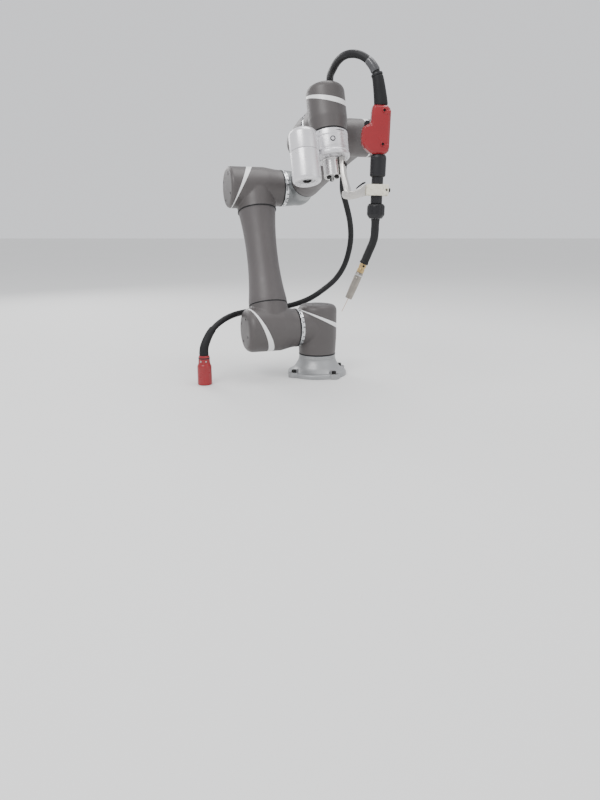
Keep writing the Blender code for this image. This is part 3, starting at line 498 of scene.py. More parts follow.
def housing(key, label, body, voxel, times):
    d = MODULES[key]
    R, Rr, out, cap, Rb, Lb, rim = d["R"], d["Rr"], d["out"], d["cap"], d["Rb"], d["Lb"], d["rim"]
    outer = lathe([(0, cap), (R - rim, cap - 0.0004), (R - 0.55 * rim, cap - 0.12 * rim), (R - 0.26 * rim, cap - 0.34 * rim), (R - 0.07 * rim, cap - 0.66 * rim), (R, cap - rim),
                   (R, -0.35 * out), (Rr + 0.0012, -0.80 * out), (Rr, -out), (Rr, -out - 0.02), (0, -out - 0.02)], 128)
    arm = moved(lathe([(0, 0.002), (Rb + 0.0010, 0.002), (Rb, Lb), (Rb, Lb + 0.02), (0, Lb + 0.02)], 128), along_x())
    solid = organic(union(outer, arm), voxel, times)
    solid = keep(solid, half((0, 0, -out), (0, 0, -1)))
    solid = keep(solid, half((Lb, 0, 0), (1, 0, 0)))
    solid = cut(solid, cylinder(Rr - 0.0075, -out - 0.03, cap - 0.0095, 64))
    solid = cut(solid, moved(cylinder(0.80 * (Rr - 0.0075), 0.004, Lb + 0.03, 48), along_x()))
    s, w0, w1 = math.tan(deg(d["slant"])), d["wn"], d["ww"]
    mid, tilt = 0.5 * (w0 + w1), (w1 - w0) / (2 * R)
    cs, sn = math.cos(deg(d["turn"])), math.sin(deg(d["turn"]))
    low = (-(s + 0.5 * tilt) * cs, -(s + 0.5 * tilt) * sn, 1)
    high = (-(s - 0.5 * tilt) * cs, -(s - 0.5 * tilt) * sn, 1)
    zl, zh = d["zs"] - mid / 2, d["zs"] + mid / 2
    up_low, up_high = Vector(low).normalized(), Vector(high).normalized()
    lower = keep(solid.copy(), half(Vector((0, 0, zl)), low))
    band = cut(keep(solid.copy(), half(Vector((0, 0, zh)), high)), half(Vector((0, 0, zl)) + up_low * 0.0004, low))
    top = cut(solid, half(Vector((0, 0, zh)) + up_high * 0.0004, high))
    # cap screws in their counterbores, on the cap's flat face
    rs, zf = R - rim - 0.0085, cap - 0.0004
    count, phase = (4, 45) if key in ("j1", "j2", "j3") else (3, 90)
    hole = cylinder(0.0040 if R > 0.05 else 0.0032, -0.004, 0.01, 24)
    for h in spots(count, rs, zf, phase, hole):
        top = cut(top, h)
    show(label + "_housing_skin", lower, PLACE[key], SHELL, body, (label + "_housing",))
    show(label + "_cap_skin", top, PLACE[key], SHELL, body, (label + "_cap",))
    show(label + "_inlay_strip", band, PLACE[key], INLAY, body, (label + "_inlay",))
    show(label + "_cap_screws", join(spots(count, rs, zf - 0.0040, phase, screw(0.0036 if R > 0.05 else 0.0029, 0.0032))), PLACE[key], OXIDE, body)
    z = -out - GAP
    show(label + "_lip_seal", lathe(soft([(Rr + 0.0007, z), (Rr + 0.0004, z - SEAL / 2), (Rr + 0.0007, z - SEAL), (Rr - 0.006, z - SEAL), (Rr - 0.006, z)], 0.0004, True), 96, True), PLACE[key], RUBBER, body, (label + "_seal",))


def output_ring(key, name, body, mat=None, marked=True):
    d = MODULES[key]
    R, z = d["Rr"], -d["out"] - 2 * GAP - SEAL
    profile = soft([(R - 0.0003, z), (R, z - 0.0012), (R, z - 0.0042), (R - 0.0006, z - 0.0046), (R - 0.0006, z - 0.0054), (R, z - 0.0058), (R, z - RING), (R - 0.0085, z - RING), (R - 0.0085, z)], 0.0004, True)
    show(name + "_turned", lathe(profile, 128, True), PLACE[key], mat or TURNED, body, (name,))
    if not marked:
        return
    marks, notch = [], block(-0.0004, 0.00015, -0.0016, 0.0016, -0.0026, 0.0026)
    wide = block(-0.0004, 0.00015, -0.0040, 0.0040, -0.0012, 0.0012)
    for i in range(24):
        a = deg(15 * i + 4)
        marks.append(moved((wide if i % 4 == 0 else notch).copy(), Matrix.Rotation(a, 4, "Z") @ Matrix.Translation((R + 0.0001, 0, z - (0.0026 if i % 4 == 0 else 0.0070)))))
    show(name + "_marks", join(marks), PLACE[key], DARK, body)


housing("j1", "shoulder", "shoulder", 0.0015, 24)
housing("j2", "upper_arm_lower", "upper_arm", 0.0016, 24)
housing("j3", "elbow", "upper_arm", 0.0015, 16)
housing("j4", "wrist_1", "forearm", 0.0012, 22)
housing("j5", "wrist_2", "wrist_1", 0.0012, 22)
housing("j6", "wrist_3", "wrist_2", 0.0012, 22)
output_ring("j1", "base_output_ring", "base", BASE, False)
output_ring("j2", "shoulder_output_ring", "shoulder")
output_ring("j3", "forearm_output_ring", "forearm")
output_ring("j4", "wrist_2_output_ring", "wrist_1")
output_ring("j5", "wrist_3_output_ring", "wrist_2")

# ---------------------------------------------------------------- upper arm and forearm
z0, z1 = MODULES["j2"]["Lb"] + GAP, A2 - MODULES["j3"]["Lb"] - GAP
outside = []
for i in range(49):
    t = i / 48
    outside.append((min(0.0459 + 0.0112 * abs(2 * t - 1.06) ** 2.1, 0.0566 if t < 0.5 else 0.0570), z0 + (z1 - z0) * t))
body_line = [(outside[0][0] - 0.0010, z0), (outside[0][0], z0 + 0.0012)] + outside[1:-1] + [(outside[-1][0], z1 - 0.0012), (outside[-1][0] - 0.0010, z1)]
inside = [(0.038, z1), (0.038, z0)]
arm_place = place_frame(SHOULDER + SIDE * ARM_OFFSET, SIDE, UPPER)
show("upper_arm_tube_skin", lathe(body_line + inside, 144, True), arm_place, SHELL2, "upper_arm", ("upper_arm_tube",))
for name, z, r in (("upper_arm_seam_low", z0 - 0.0002, MODULES["j2"]["Rb"]), ("upper_arm_seam_high", z1 + 0.0002, MODULES["j3"]["Rb"])):
    show(name, lathe(soft([(r + 0.0007, z - 0.0017), (r + 0.0007, z + 0.0017), (r - 0.004, z + 0.0017), (r - 0.004, z - 0.0017)], 0.0005, True), 96, True), arm_place, RUBBER, "upper_arm")

corner = place_frame(ELBOW + SIDE * FORE_OFFSET, FORE, SIDE)
ring_end = ARM_OFFSET - FORE_OFFSET - MODULES["j3"]["out"] - STACK
NECK, NECK_R, MOUTH_R = 0.0700, 0.0455, 0.0520
ball = lathe([(0, ring_end + 0.02), (MOUTH_R, ring_end + 0.02), (MOUTH_R, ring_end), (MOUTH_R - 0.0005, ring_end - 0.014)] +
             [(0.0500 * math.cos(deg(a)), 0.0500 * math.sin(deg(a)) * 0.92) for a in range(10, -90, -8)] + [(0, -0.0460)], 96)
neck = moved(lathe([(0, 0.003), (0.0430, 0.003), (0.0445, 0.045), (NECK_R, NECK), (NECK_R, NECK + 0.02), (0, NECK + 0.02)], 96), along_x())
cast = organic(union(ball, neck), 0.0015, 60)
cast = keep(cast, half((0, 0, ring_end), (0, 0, 1)))
cast = keep(cast, half((NECK, 0, 0), (1, 0, 0)))
cast = cut(cast, cylinder(0.0385, -0.026, ring_end + 0.03, 48))
cast = cut(cast, moved(cylinder(0.0375, 0.004, NECK + 0.03, 48), along_x()))
show("forearm_casting_skin", cast, corner, CASTING, "forearm", ("forearm_casting",))
fore_place = place_frame(ELBOW + SIDE * FORE_OFFSET, SIDE, FORE)
show("forearm_gasket", lathe(soft([(NECK_R - 0.0003, NECK + GAP), (NECK_R - 0.0003, NECK + GAP + SEAL), (NECK_R - 0.007, NECK + GAP + SEAL), (NECK_R - 0.007, NECK + GAP)], 0.0006, True), 96, True), fore_place, RUBBER, "forearm", ("forearm_seal",))
f0, f1 = NECK + SEAL + 2 * GAP, A3 - MODULES["j4"]["Lb"] - GAP
outside = [(0.0408 + 0.0047 * (1 - i / 24) ** 2.4, f0 + (f1 - f0) * i / 24) for i in range(25)]
body_line = [(outside[0][0] - 0.001, f0), (outside[0][0], f0 + 0.0012)] + outside[1:-1] + [(outside[-1][0], f1 - 0.0012), (outside[-1][0] - 0.001, f1)]
show("forearm_tube_skin", lathe(body_line + [(0.0350, f1), (0.0350, f0)], 128, True), fore_place, SHELL2, "forearm", ("forearm_tube",))

# ---------------------------------------------------------------- base
top = D1 - MODULES["j1"]["out"] - STACK
BOLT_R, BOLT_YAW, FOOT = 0.0860, 34.5, 0.0140
flare = lathe([(0, top + 0.02), (0.0553, top + 0.02), (0.0556, top - 0.003), (0.0592, top - 0.0115), (0.0630, top - 0.018), (0.0668, top - 0.025), (0.0716, FOOT + 0.0075), (0.0790, FOOT + 0.0012), (0.0870, FOOT - 0.0015), (0.0893, FOOT - 0.004), (0.0893, -0.012), (0, -0.012)], 160)
for i in range(4):
    a = deg(BOLT_YAW + 90 * i)
    flare = union(flare, moved(cylinder(0.0165, -0.012, FOOT, 48), Matrix.Translation((BOLT_R * math.cos(a), BOLT_R * math.sin(a), 0))))
back = place_frame((0, 0, 0.036), UP, (-math.sin(deg(BOLT_YAW - 45)), math.cos(deg(BOLT_YAW - 45)), 0))
flare = union(flare, moved(block(-0.0115, 0.0125, -0.019, 0.019, 0.050, 0.0800), back))
# a cast web joining each lug to the flare
for i in range(4):
    a = deg(BOLT_YAW + 90 * i)
    flare = union(flare, moved(block(0.050, 0.094, -0.0155, 0.0155, -0.012, FOOT), Matrix.Rotation(a, 4, "Z")))
flare = organic(flare, 0.0014, 9)
flare = keep(flare, half((0, 0, 0), (0, 0, -1)))
flare = keep(flare, half((0, 0, top), (0, 0, 1)))
flare = keep(flare, moved(block(-0.3, 0.3, -0.3, 0.3, -0.3, 0.0799), back))
for i in range(4):
    a = deg(BOLT_YAW + 90 * i)
    spot = Matrix.Translation((BOLT_R * math.cos(a), BOLT_R * math.sin(a), 0)) @ Matrix.Rotation(a, 4, "Z")
    flare = cut(flare, moved(cylinder(0.0142, FOOT - 0.0012, 0.2, 48, 0.0330), spot))
    flare = cut(flare, moved(cylinder(0.0046, -0.01, 0.03, 32), spot))
flare = cut(flare, lathe([(0, 0.006), (0.0400, 0.006), (0.0450, 0.016), (0.0450, top + 0.01), (0, top + 0.01)], 48))
show("base_casting_skin", flare, Matrix.Identity(4), BASE, "base", ("base_casting",))
lug_screws, washers = [], []
for i in range(4):
    a = deg(BOLT_YAW + 90 * i)
    spot = Matrix.Translation((BOLT_R * math.cos(a), BOLT_R * math.sin(a), FOOT - 0.0011))
    washers.append(moved(lathe(soft([(0.0044, 0), (0.0082, 0), (0.0082, 0.0016), (0.0044, 0.0016)], 0.0003, True), 40, True), spot))
    lug_screws.append(moved(screw(0.0065, 0.0080), spot @ Matrix.Translation((0, 0, 0.0017))))
show("base_lug_screws", join(lug_screws), Matrix.Identity(4), OXIDE, "base")
show("base_lug_washers", join(washers), Matrix.Identity(4), STEEL, "base")
show("base_gland_body", lathe(soft([(0.0045, 0.0803), (0.0095, 0.0803), (0.0095, 0.0850), (0.0086, 0.0856), (0.0078, 0.0865), (0.0070, 0.0940), (0.0045, 0.0940)], 0.0006, True), 48, True), back, NYLON, "base", ("base_cable_gland",))
show("base_gland_hex", cut(lathe(soft([(0.0, 0.0806), (0.0104, 0.0806), (0.0104, 0.0846), (0.0, 0.0846)], 0.0005), 6), cylinder(0.0096, 0.079, 0.09, 40)), back, NYLON, "base")

# ---------------------------------------------------------------- tool flange and its button
hand = place_frame(CROSS6, SIDE, SIXTH) @ Matrix.Rotation(deg(-TOOL_TURN), 4, "Z")
F0, FLANGE_R = MODULES["j6"]["out"] + SEAL + 2 * GAP, 0.0403
flange = lathe(soft([(0, D6), (0.0240, D6), (0.0240, D6 - 0.0010), (0.0345, D6 - 0.0010), (0.0345, D6), (0.0390, D6), (0.0416, D6 - 0.0022), (0.0419, D6 - 0.0070), (0.0406, D6 - 0.0105), (0.0392, D6 - 0.0120), (0.0392, D6 - 0.0135),
                     (FLANGE_R, D6 - 0.0150), (FLANGE_R + 0.0003, F0 + 0.0135), (0.0412, F0 + 0.0120), (0.0412, F0 + 0.0006), (0.0406, F0), (0.0260, F0), (0.0260, F0 + 0.035), (0, F0 + 0.035)], 0.0007), 144)
saddle = organic(block(0.020, CAMERA_AT - 0.0290, -0.0165, 0.0165, F0 + 0.018, D6 - 0.010, 0.003), 0.0012, 3)
flange = union(flange, saddle)
flange = cut(flange, moved(cylinder(CAMERA_R + GAP, -0.1, 0.3, 96), Matrix.Translation((CAMERA_AT, 0, 0))))
for i in range(4):
    a = deg(45 + 90 * i)
    flange = cut(flange, moved(cylinder(0.0026, D6 - 0.008, D6 + 0.02, 24), Matrix.Translation((0.025 * math.cos(a), 0.025 * math.sin(a), 0))))
toward = Vector((0.12, -1, 0))
press = (toward - toward.dot(SIXTH) * SIXTH).normalized()
button_at = place_frame(CROSS6 + SIXTH * 0.0710, SIXTH, press)
flange = cut(flange, moved(cylinder(0.0062, FLANGE_R - 0.0060, FLANGE_R + 0.02, 48), hand.inverted() @ button_at))
show("tool_flange_skin", flange, hand, WHITE, "tool", ("tool_flange_module",))
show("free_button_cap", lathe(soft([(0, FLANGE_R + 0.0008), (0.0034, FLANGE_R + 0.0010), (0.0038, FLANGE_R + 0.0004), (0.0038, FLANGE_R - 0.0035), (0, FLANGE_R - 0.0035)], 0.0004), 48), button_at, WHITE, "free_button", ("free_button",))
show("free_button_ring", lathe(soft([(0.0039, FLANGE_R - 0.0030), (0.0039, FLANGE_R + 0.0006), (0.0052, FLANGE_R + 0.0006), (0.0052, FLANGE_R - 0.0030)], 0.0003, True), 48, True), button_at, DARK, "free_button")
# engraved ticks round the flange's upper edge and a fine line above its lip
aim = hand.inverted() @ (CROSS6 + press * 0.1)
facing = math.atan2(aim.y, aim.x)
ticks = []
for k, (da, w, h) in enumerate(((14, 0.0011, 0.0012), (19, 0.0016, 0.0018), (25, 0.0022, 0.0018), (32, 0.0018, 0.0018), (39, 0.0022, 0.0018), (-40, 0.0016, 0.0018), (-60, 0.0016, 0.0018), (95, 0.0016, 0.0018), (180, 0.0024, 0.0018))):
    ticks.append(moved(block(-0.0003, 0.0001, -w, w, -h / 2, h / 2), Matrix.Rotation(facing - deg(da), 4, "Z") @ Matrix.Translation((0.0412, 0, F0 + 0.0050))))
show("tool_flange_ticks", join(ticks), hand, DARK, "tool")
show("tool_flange_line", lathe([(0.0400, D6 - 0.0172), (0.04065, D6 - 0.0172), (0.04065, D6 - 0.0176), (0.0400, D6 - 0.0176)], 128, True), hand, PALE, "tool")

# ---------------------------------------------------------------- wrist camera
CAM0, CAM1, CAM_SEAM = 0.0445, 0.1660, 0.0980
cam_place = hand @ Matrix.Translation((CAMERA_AT, 0, 0))
dome = [(0, CAM0)] + [(CAMERA_R * math.sin(deg(a)), CAM0 + 0.0180 * (1 - math.cos(deg(a)))) for a in range(6, 87, 5)]
show("camera_rear_skin", lathe(dome + soft([(CAMERA_R, CAM0 + 0.0195), (CAMERA_R, CAM_SEAM), (CAMERA_R - 0.003, CAM_SEAM), (CAMERA_R - 0.003, CAM0 + 0.022), (CAMERA_R * 0.6, CAM0 + 0.010), (0, CAM0 + 0.008)], 0.0007), 128), cam_place, WHITE, "tool", ("camera_rear_cover",))
c0 = CAM_SEAM + 0.0006
front = [(CAMERA_R - 0.0006, c0), (CAMERA_R, c0 + 0.0008), (CAMERA_R, CAM1 - 0.007), (CAMERA_R - 0.0014, CAM1 - 0.0028), (CAMERA_R - 0.0050, CAM1 - 0.0004), (CAMERA_R - 0.0100, CAM1), (0.0215, CAM1), (0.0200, CAM1 - 0.0030), (0.0185, CAM1 - 0.0050), (0.0180, CAM1 - 0.030), (CAMERA_R - 0.004, CAM1 - 0.031), (CAMERA_R - 0.004, c0)]
show("camera_front_skin", lathe(soft(front, 0.0010, True), 128, True), cam_place, WHITE, "tool", ("camera_front_cover",))
show("camera_window_ring", lathe(soft([(0.0100, CAM1 - 0.0052), (0.0176, CAM1 - 0.0052), (0.0179, CAM1 - 0.0090), (0.0179, CAM1 - 0.0300), (0.0160, CAM1 - 0.0560), (0.0100, CAM1 - 0.0560)], 0.0006, True), 96, True), cam_place, PALE, "tool", ("camera_lens_module",))
show("camera_lens_barrel", lathe(soft([(0.0066, CAM1 - 0.0080), (0.0074, CAM1 - 0.0034), (0.0094, CAM1 - 0.0034), (0.0098, CAM1 - 0.0080), (0.0098, CAM1 - 0.050), (0.0066, CAM1 - 0.050)], 0.0005, True), 64, True), cam_place, OXIDE, "tool")
show("camera_lens_glass", lathe([(0, CAM1 - 0.0052)] + [(0.0066 * math.sin(deg(a)), CAM1 - 0.0052 - 0.004 * (1 - math.cos(deg(a)))) for a in range(10, 91, 10)] + [(0.0066, CAM1 - 0.030), (0, CAM1 - 0.030)], 64), cam_place, GLASS, "tool")
lamp = lathe(soft([(0, -0.0010), (0.0012, -0.0010), (0.0012, 0.0004), (0, 0.0010)], 0.0003), 20)
show("camera_lamps", join(spots(10, 0.0138, CAM1 - 0.0050, 12, lamp)), cam_place, INLAY, "tool")

# ---------------------------------------------------------------- torch spacer, leg, arm, clamp
SPACER_H = 0.0405
RIGHT = Vector((math.cos(deg(20)), -math.sin(deg(20)), 0))
mount = place_frame(CROSS6, -RIGHT, SIXTH)
off = mount @ Matrix.Translation((0.0020, 0, 0))
show("torch_spacer_turned", lathe(soft([(0, D6 + GAP), (0.0200, D6 + GAP), (0.0200, D6 + 0.0036), (0.0190, D6 + 0.0044), (0.0190, D6 + SPACER_H - 0.0012), (0.0180, D6 + SPACER_H), (0, D6 + SPACER_H)], 0.0005), 128), off, MACHINED, "tool", ("torch_spacer",))
ZS = D6 + SPACER_H
show("torch_spacer_screws", join(spots(3, 0.0108, ZS - 0.0004, 65, screw(0.0046, 0.0050, 0.5))), off, OXIDE, "tool")
show("torch_spacer_stud", join([moved(cylinder(0.0030, ZS - 0.001, ZS + 0.0075, 6), Matrix.Identity(4)), moved(lathe(soft([(0, ZS - 0.0005), (0.0062, ZS - 0.0005), (0.0062, ZS + 0.0022), (0, ZS + 0.0022)], 0.0005), 32), Matrix.Identity(4))]), off, STEEL, "tool")
lie = Matrix(((1, 0, 0, 0), (0, 0, 1, 0), (0, 1, 0, 0), (0, 0, 0, 1)))
CL0, CL1 = 0.1625, 0.1865
foot = TORCH.inverted() @ (CROSS6 + SIXTH * 0.1800 + RIGHT * 0.0223)
# the leg hangs beside the spacer, the arm runs from its end to the clamp
leg = moved(plate([(-0.0185, D6 + 0.0006), (-0.0275, D6 + 0.0006), (-0.0280, 0.1400), (-0.0330, 0.1690), (-0.0345, 0.1880), (-0.0240, 0.1900), (-0.0215, 0.1700), (-0.0185, 0.1440)], 0.0250, 0.0012), mount @ Matrix.Translation((0, 0.0055, 0)) @ lie)
arm_outline = [(0.0256, CL0 + 0.0035), (0.0335, CL0 + 0.0030), (0.0375, CL0 + 0.0085), (0.5 * (foot.x + 0.0345), foot.z - 0.0045), (foot.x - 0.0030, foot.z - 0.0050), (foot.x + 0.0050, foot.z - 0.0050),
               (foot.x + 0.0060, foot.z + 0.0040), (foot.x + 0.0010, foot.z + 0.0105), (foot.x - 0.0120, foot.z + 0.0125), (0.0450, foot.z + 0.0100), (0.0340, 0.1895), (0.0256, 0.1880)]
arm = moved(plate(arm_outline, 0.0230, 0.0012), TORCH @ lie)
bracket = union(leg, arm)
show("torch_bracket_skin", bracket, Matrix.Identity(4), PLATE, "tool", ("torch_bracket",))
show("torch_bracket_screws", join([moved(screw(0.0034, 0.0030), mount @ Matrix.Translation((-0.0274, y, D6 + 0.014)) @ Matrix.Rotation(deg(-90), 4, "Y")) for y in (0.0005, 0.0125)]), Matrix.Identity(4), OXIDE, "tool")
# the clamp's lever, on top of the arm's end
lever = moved(plate([(0.0290, CL0 + 0.0020), (0.0300, CL0 - 0.0015), (0.0360, CL0 - 0.0060), (0.0400, CL0 - 0.0010), (0.0450, CL0 + 0.0050), (0.0440, CL0 + 0.0075), (0.0375, CL0 + 0.0020), (0.0330, CL0 + 0.0010)], 0.0120, 0.0006), TORCH @ lie)
lever = moved(plate([(0.0265, CL0 - 0.0050), (0.0330, CL0 - 0.0035), (0.0400, CL0 + 0.0020), (0.0470, CL0 + 0.0085), (0.0455, CL0 + 0.0105), (0.0390, CL0 + 0.0055), (0.0325, CL0 + 0.0010), (0.0265, CL0 - 0.0020)], 0.0130, 0.0005), TORCH @ lie)
show("torch_clamp_lever", lever, Matrix.Identity(4), NYLON, "tool")

clamp = block(-0.0247, 0.0252, -0.0180, 0.0180, CL0, CL1, 0.0014)
clamp = cut(clamp, cylinder(0.0130 + GAP, CL0 - 0.02, CL1 + 0.02, 64))
clamp = cut(clamp, block(-0.04, -0.010, -0.0012, 0.0012, CL0 - 0.02, CL1 + 0.02))
side_hole = moved(cylinder(0.0030, -0.03, 0.03, 24), Matrix.Translation((-0.0192, 0, (CL0 + CL1) / 2)) @ Matrix.Rotation(deg(90), 4, "X"))
clamp = cut(clamp, side_hole)
show("torch_clamp_skin", clamp, TORCH, CREAM, "tool", ("torch_clamp",))
bolt = join([moved(screw(0.0044, 0.0042), TORCH @ Matrix.Translation((-0.0243, y, (CL0 + CL1) / 2)) @ Matrix.Rotation(deg(-90), 4, "Y")) for y in (-0.0095, 0.0095)])
show("torch_clamp_screws", bolt, Matrix.Identity(4), OXIDE, "tool")

# ---------------------------------------------------------------- torch handle, body, neck and nozzle
outline = [(-0.0110, 0.0), (0.0140, 0.0), (0.0178, 0.0015), (0.0200, 0.0075), (0.0206, 0.0335), (0.0225, 0.0390), (0.0355, 0.0418), (0.0396, 0.0480), (0.0402, 0.0745), (0.0352, 0.0845),
           (0.0270, 0.0925), (0.0190, 0.0975), (0.0150, HANDLE_H), (-0.0125, HANDLE_H), (-0.0185, 0.0965), (-0.0212, 0.0905), (-0.0212, 0.0100), (-0.0165, 0.0030)]
grip = organic(moved(plate(outline, 2 * HALF, 0.0048, 1), lie), 0.0009, 4)
boss = organic(moved(cylinder(0.0052, -0.0215, 0.0215, 40), Matrix.Rotation(deg(90), 4, "X")), 0.0007, 4)
BOSSES = [(-0.0060, 0.0115), (-0.0060, 0.0800)]
ridge = moved(block(-0.0205, -0.0060, -0.0188, 0.0188, -0.0042, 0.0042, 0.0018), Matrix.Identity(4))
for k, (bx, bz) in enumerate(BOSSES):
    tall = 0.0195 if k < 2 else 0.0178
    grip = union(grip, moved(lathe(soft([(0, -tall), (0.0046, -tall), (0.0058, -tall + 0.003), (0.0058, tall - 0.003), (0.0046, tall), (0, tall)], 0.0008), 48), Matrix.Translation((bx, 0, bz)) @ Matrix.Rotation(deg(90), 4, "X")))
for bz in (0.0150, 0.0835):
    grip = union(grip, moved(organic(ridge.copy(), 0.0008, 4), Matrix.Translation((0, 0, bz))))
for bx, bz in BOSSES:
    grip = cut(grip, moved(cylinder(0.0031, -0.05, -0.0150, 32), Matrix.Translation((bx, 0, bz)) @ Matrix.Rotation(deg(-90), 4, "X")))
    grip = cut(grip, moved(cylinder(0.0031, 0.0150, 0.05, 32), Matrix.Translation((bx, 0, bz)) @ Matrix.Rotation(deg(-90), 4, "X")))
grip = cut(grip, cylinder(0.0080, -0.02, HANDLE_H + 0.02, 40))
for name, sign in (("torch_handle_front", -1), ("torch_handle_rear", 1)):
    part = keep(grip.copy(), half((0, sign * 0.0002, 0), (0, -sign, 0)))
    show(name + "_skin", part, TORCH, RED, "tool", (name,))
screws = []
for bx, bz in BOSSES:
    screws.append(moved(screw(0.0027, 0.0022), Matrix.Translation((bx, -0.0148, bz)) @ Matrix.Rotation(deg(90), 4, "X")))
    screws.append(moved(screw(0.0027, 0.0022), Matrix.Translation((bx, 0.0148, bz)) @ Matrix.Rotation(deg(-90), 4, "X")))
show("torch_handle_screws", join(screws), TORCH, OXIDE, "tool")
show("torch_trigger_tab", organic(moved(plate([(0.0230, 0.0310), (0.0325, 0.0310), (0.0345, 0.0340), (0.0345, 0.0430), (0.0230, 0.0400)], 0.0150, 0.0012), lie), 0.0007, 3), TORCH, NYLON, "tool")

B0, B1, N0, N1 = HANDLE_H + GAP, 0.1460, 0.2033, 0.2361
body_profile = [(0.0150, B0), (0.0160, B0 + 0.0015), (0.0172, B0 + 0.0045), (0.0176, B0 + 0.0060), (0.0176, B1 - 0.0040), (0.0170, B1 - 0.0010), (0.0158, B1), (0.0130, B1 + 0.0012), (0.0130, 0.1600), (0.0129, 0.1900), (0.0130, N0), (0.0060, N0), (0.0060, B0)]
show("torch_body_skin", lathe(soft(body_profile, 0.0009, True), 96, True), TORCH, NYLON, "tool", ("torch_body",))
nut = lathe(soft([(0.0150, N0 + GAP), (0.0178, N0 + 0.0025), (0.0198, N0 + 0.0060), (0.0198, N1 - 0.0085), (0.0180, N1 - 0.0055), (0.0140, N1), (0.0060, N1), (0.0060, N0 + GAP)], 0.0012, True), 96, True)
for i in range(12):
    nut = cut(nut, moved(cylinder(0.0016, N0 + 0.0045, N1 - 0.0060, 16), Matrix.Rotation(deg(30 * i), 4, "Z") @ Matrix.Translation((0.0203, 0, 0))))
show("torch_nut_skin", nut, TORCH, NYLON, "tool", ("torch_nut",))
BEND, BEND_R, BEND_AT, NECK_LONG = deg(21.7), 0.080, 0.2806, 0.0600
reach = BEND_R * math.tan(BEND / 2)


def gooseneck_point(s):
    a = BEND_AT - reach - N1 - GAP
    if s <= a:
        return Vector((0, 0, N1 + GAP + s))
    if s <= a + BEND_R * BEND:
        t = (s - a) / BEND_R
        return Vector((BEND_R * (1 - math.cos(t)), 0, BEND_AT - reach + BEND_R * math.sin(t)))
    e = Vector((BEND_R * (1 - math.cos(BEND)), 0, BEND_AT - reach + BEND_R * math.sin(BEND)))
    return e + Vector((math.sin(BEND), 0, math.cos(BEND))) * (s - a - BEND_R * BEND)


total = BEND_AT - reach - N1 - GAP + BEND_R * BEND + NECK_LONG - reach
path = [gooseneck_point(total * i / 60) for i in range(61)]
show("torch_gooseneck_skin", sweep(path, [0.0092 + 0.00012 * math.sin(i * 0.55) + (0.0008 if i < 3 or i > 57 else 0.0) for i in range(61)], 48), TORCH, CABLE, "tool", ("torch_gooseneck",))
end = gooseneck_point(total)
tip = TORCH @ place_frame(end, (math.cos(BEND), 0, -math.sin(BEND)), (math.sin(BEND), 0, math.cos(BEND))) @ Matrix.Translation((0, 0, GAP))
show("torch_neck_brass", lathe(soft([(0, 0), (0.0078, 0), (0.0084, 0.0012), (0.0084, 0.0085), (0.0074, 0.0095), (0.0074, 0.0125), (0.0084, 0.0135), (0.0084, 0.0205), (0.0080, 0.0215), (0, 0.0215)], 0.0005), 64), tip, BRASS, "tool")
show("torch_neck_screw", moved(screw(0.0026, 0.0026), Matrix.Translation((-0.0015, -0.0076, 0.0050)) @ Matrix.Rotation(deg(90), 4, "X")), tip, OXIDE, "tool")
nozzle = [(0.0070, 0.0218), (0.0086, 0.0222), (0.0090, 0.0250), (0.0090, 0.0330), (0.0087, 0.0336), (0.0087, 0.0344), (0.0090, 0.0350), (0.0089, 0.0600), (0.0084, 0.0740), (0.0079, 0.0860), (0.0064, 0.0860), (0.0064, 0.0600), (0.0070, 0.0260)]
show("torch_nozzle_skin", lathe(soft(nozzle, 0.0004, True), 72, True), tip, NICKEL, "tool", ("torch_nozzle",))
show("torch_nozzle_clip", lathe(soft([(0.0091, 0.0262), (0.0095, 0.0268), (0.0095, 0.0292), (0.0091, 0.0298)], 0.0002, True), 64, True), tip, STEEL, "tool")
show("torch_contact_tip", lathe(soft([(0.0009, 0.058), (0.0036, 0.058), (0.0036, 0.076), (0.0026, 0.083), (0.0009, 0.083)], 0.0004, True), 40, True), tip, BRASS, "tool")
curl = [Vector((0.0022 * (1 - math.cos(t * 1.2)) * 1.4, 0, 0.060 + 0.0598 * t)) for t in [k / 20 for k in range(21)]]
show("torch_welding_wire", sweep(curl, 0.0007, 12), tip, WIRE, "tool")

# ---------------------------------------------------------------- cable ends
boot_profile = [(0, 0), (0.0200, 0), (0.0206, 0.0012), (0.0208, 0.0060), (0.0204, 0.0520), (0.0196, 0.0552), (0.0176, 0.0590), (0.0168, 0.0620), (0.0158, 0.0790), (0.0148, 0.0828), (0.0140, 0.0835), (0, 0.0835)]
boot_mesh = lathe(soft(boot_profile, 0.0010), 96)
for i in range(8):
    boot_mesh = cut(boot_mesh, moved(block(0.0202, 0.03, -0.0022, 0.0022, 0.010, 0.0460, 0.0012), Matrix.Rotation(deg(45 * i + 8), 4, "Z")))
boot = show("cable_boot_skin", boot_mesh, BOOT, RED, "base", ("cable_connector_boot",))
boot_screws = [moved(screw(0.0022, 0.0018), Matrix.Rotation(deg(a), 4, "Z") @ Matrix.Translation((0.0160, 0, 0.0680)) @ Matrix.Rotation(deg(88), 4, "Y")) for a in (-115, -65, 65, 115)]
boot_screws = show("cable_boot_screws", join(boot_screws), BOOT, STEEL, "base")
boot_band = show("cable_boot_band", lathe(soft([(0.0150, 0.0744), (0.0166, 0.0744), (0.0166, 0.0776), (0.0150, 0.0776)], 0.0004, True), 64, True), BOOT, NYLON, "base")


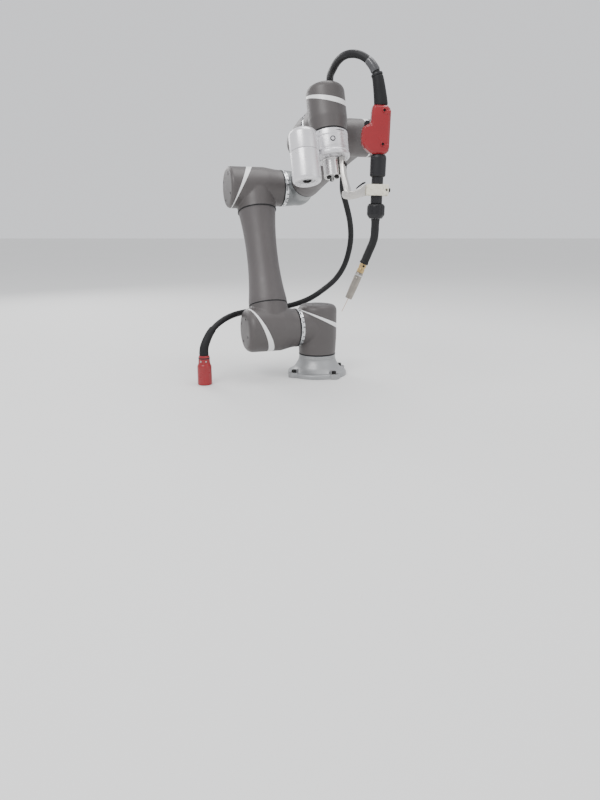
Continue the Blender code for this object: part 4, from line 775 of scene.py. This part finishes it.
def sleeve(name, s0, s1, r0, r1, mat, body, ribs=0):
    i0, i1 = at(s0), at(s1)
    pts = line[i0:i1 + 1]
    fine = []
    for a, b in zip(pts, pts[1:]):
        for k in range(4):
            fine.append(a.lerp(b, k / 4))
    fine.append(pts[-1])
    count, radii = len(fine), []
    for i in range(count):
        t = i / (count - 1)
        r = r0 + (r1 - r0) * t
        if ribs:
            r -= 0.0008 * (0.5 + 0.5 * math.cos(2 * math.pi * ribs * t)) ** 4
        edge = min(t, 1 - t) * (count - 1)
        if edge < 2:
            r -= 0.0007 * (2 - edge) / 2
        radii.append(r)
    return show(name, sweep(fine, radii, 40), Matrix.Identity(4), mat, body)


cuff = sleeve("cable_sleeve_torch", 0.0, 0.060, 0.0152, 0.0122, RUBBER, "tool")
cuff_ring = sleeve("cable_sleeve_ring", 0.060, 0.066, 0.0130, 0.0130, NYLON, "tool")
tape = sleeve("cable_tape", 0.068, 0.098, 0.0106, 0.0094, TAPE, "tool")
low_cuff = sleeve("cable_sleeve_boot", TOTAL - 0.085, TOTAL, 0.0102, 0.0135, RUBBER, "base")

# ---------------------------------------------------------------- inner parts keep their CAD shape
for name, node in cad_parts.items():
    if node.hide_render:
        continue
    mat = STATOR if name.endswith("_motor") else GEAR
    for s in node.material_slots:
        s.material = mat

# ---------------------------------------------------------------- floor and light
floor_mat = finish("floor_pale", (0.80, 0.80, 0.79), 0.75, 0.0, vary=0.01, blotch=0.8, rvary=0.03, grain=40, bump=0.02)
fm = bmesh.new()
bmesh.ops.create_grid(fm, x_segments=8, y_segments=8, size=14.0)
floor_mesh = to_mesh(fm, "floor")
floor_mesh.materials.append(floor_mat)
floor = bpy.data.objects.new("floor", floor_mesh)
floor.location = (0, 6.0, -0.0006)
COLL.objects.link(floor)

world = bpy.data.worlds.new("studio")
bpy.context.scene.world = world
world.use_nodes = True
world.node_tree.nodes["Background"].inputs["Color"].default_value = (0.96, 0.97, 1.0, 1.0)
world.node_tree.nodes["Background"].inputs["Strength"].default_value = 1.0


def lamp_at(name, where, toward, size, power):
    l = bpy.data.lights.new(name, "AREA")
    l.shape, l.size, l.size_y, l.energy = "RECTANGLE", size[0], size[1], power
    o = bpy.data.objects.new(name, l)
    COLL.objects.link(o)
    o.location = where
    o.rotation_euler = (Vector(toward) - Vector(where)).to_track_quat("-Z", "Y").to_euler()
    return o


lamp_at("key", (-1.3, -2.2, 2.6), (0, -0.1, 0.45), (1.6, 1.1), 54)
lamp_at("top", (0.5, 0.2, 3.0), (0, 0, 0.4), (2.2, 1.6), 48)
lamp_at("fill", (2.3, -1.6, 1.2), (0, -0.1, 0.4), (1.2, 1.8), 9)
lamp_at("rim", (-1.6, 1.9, 1.6), (0, 0, 0.5), (1.0, 1.6), 26)
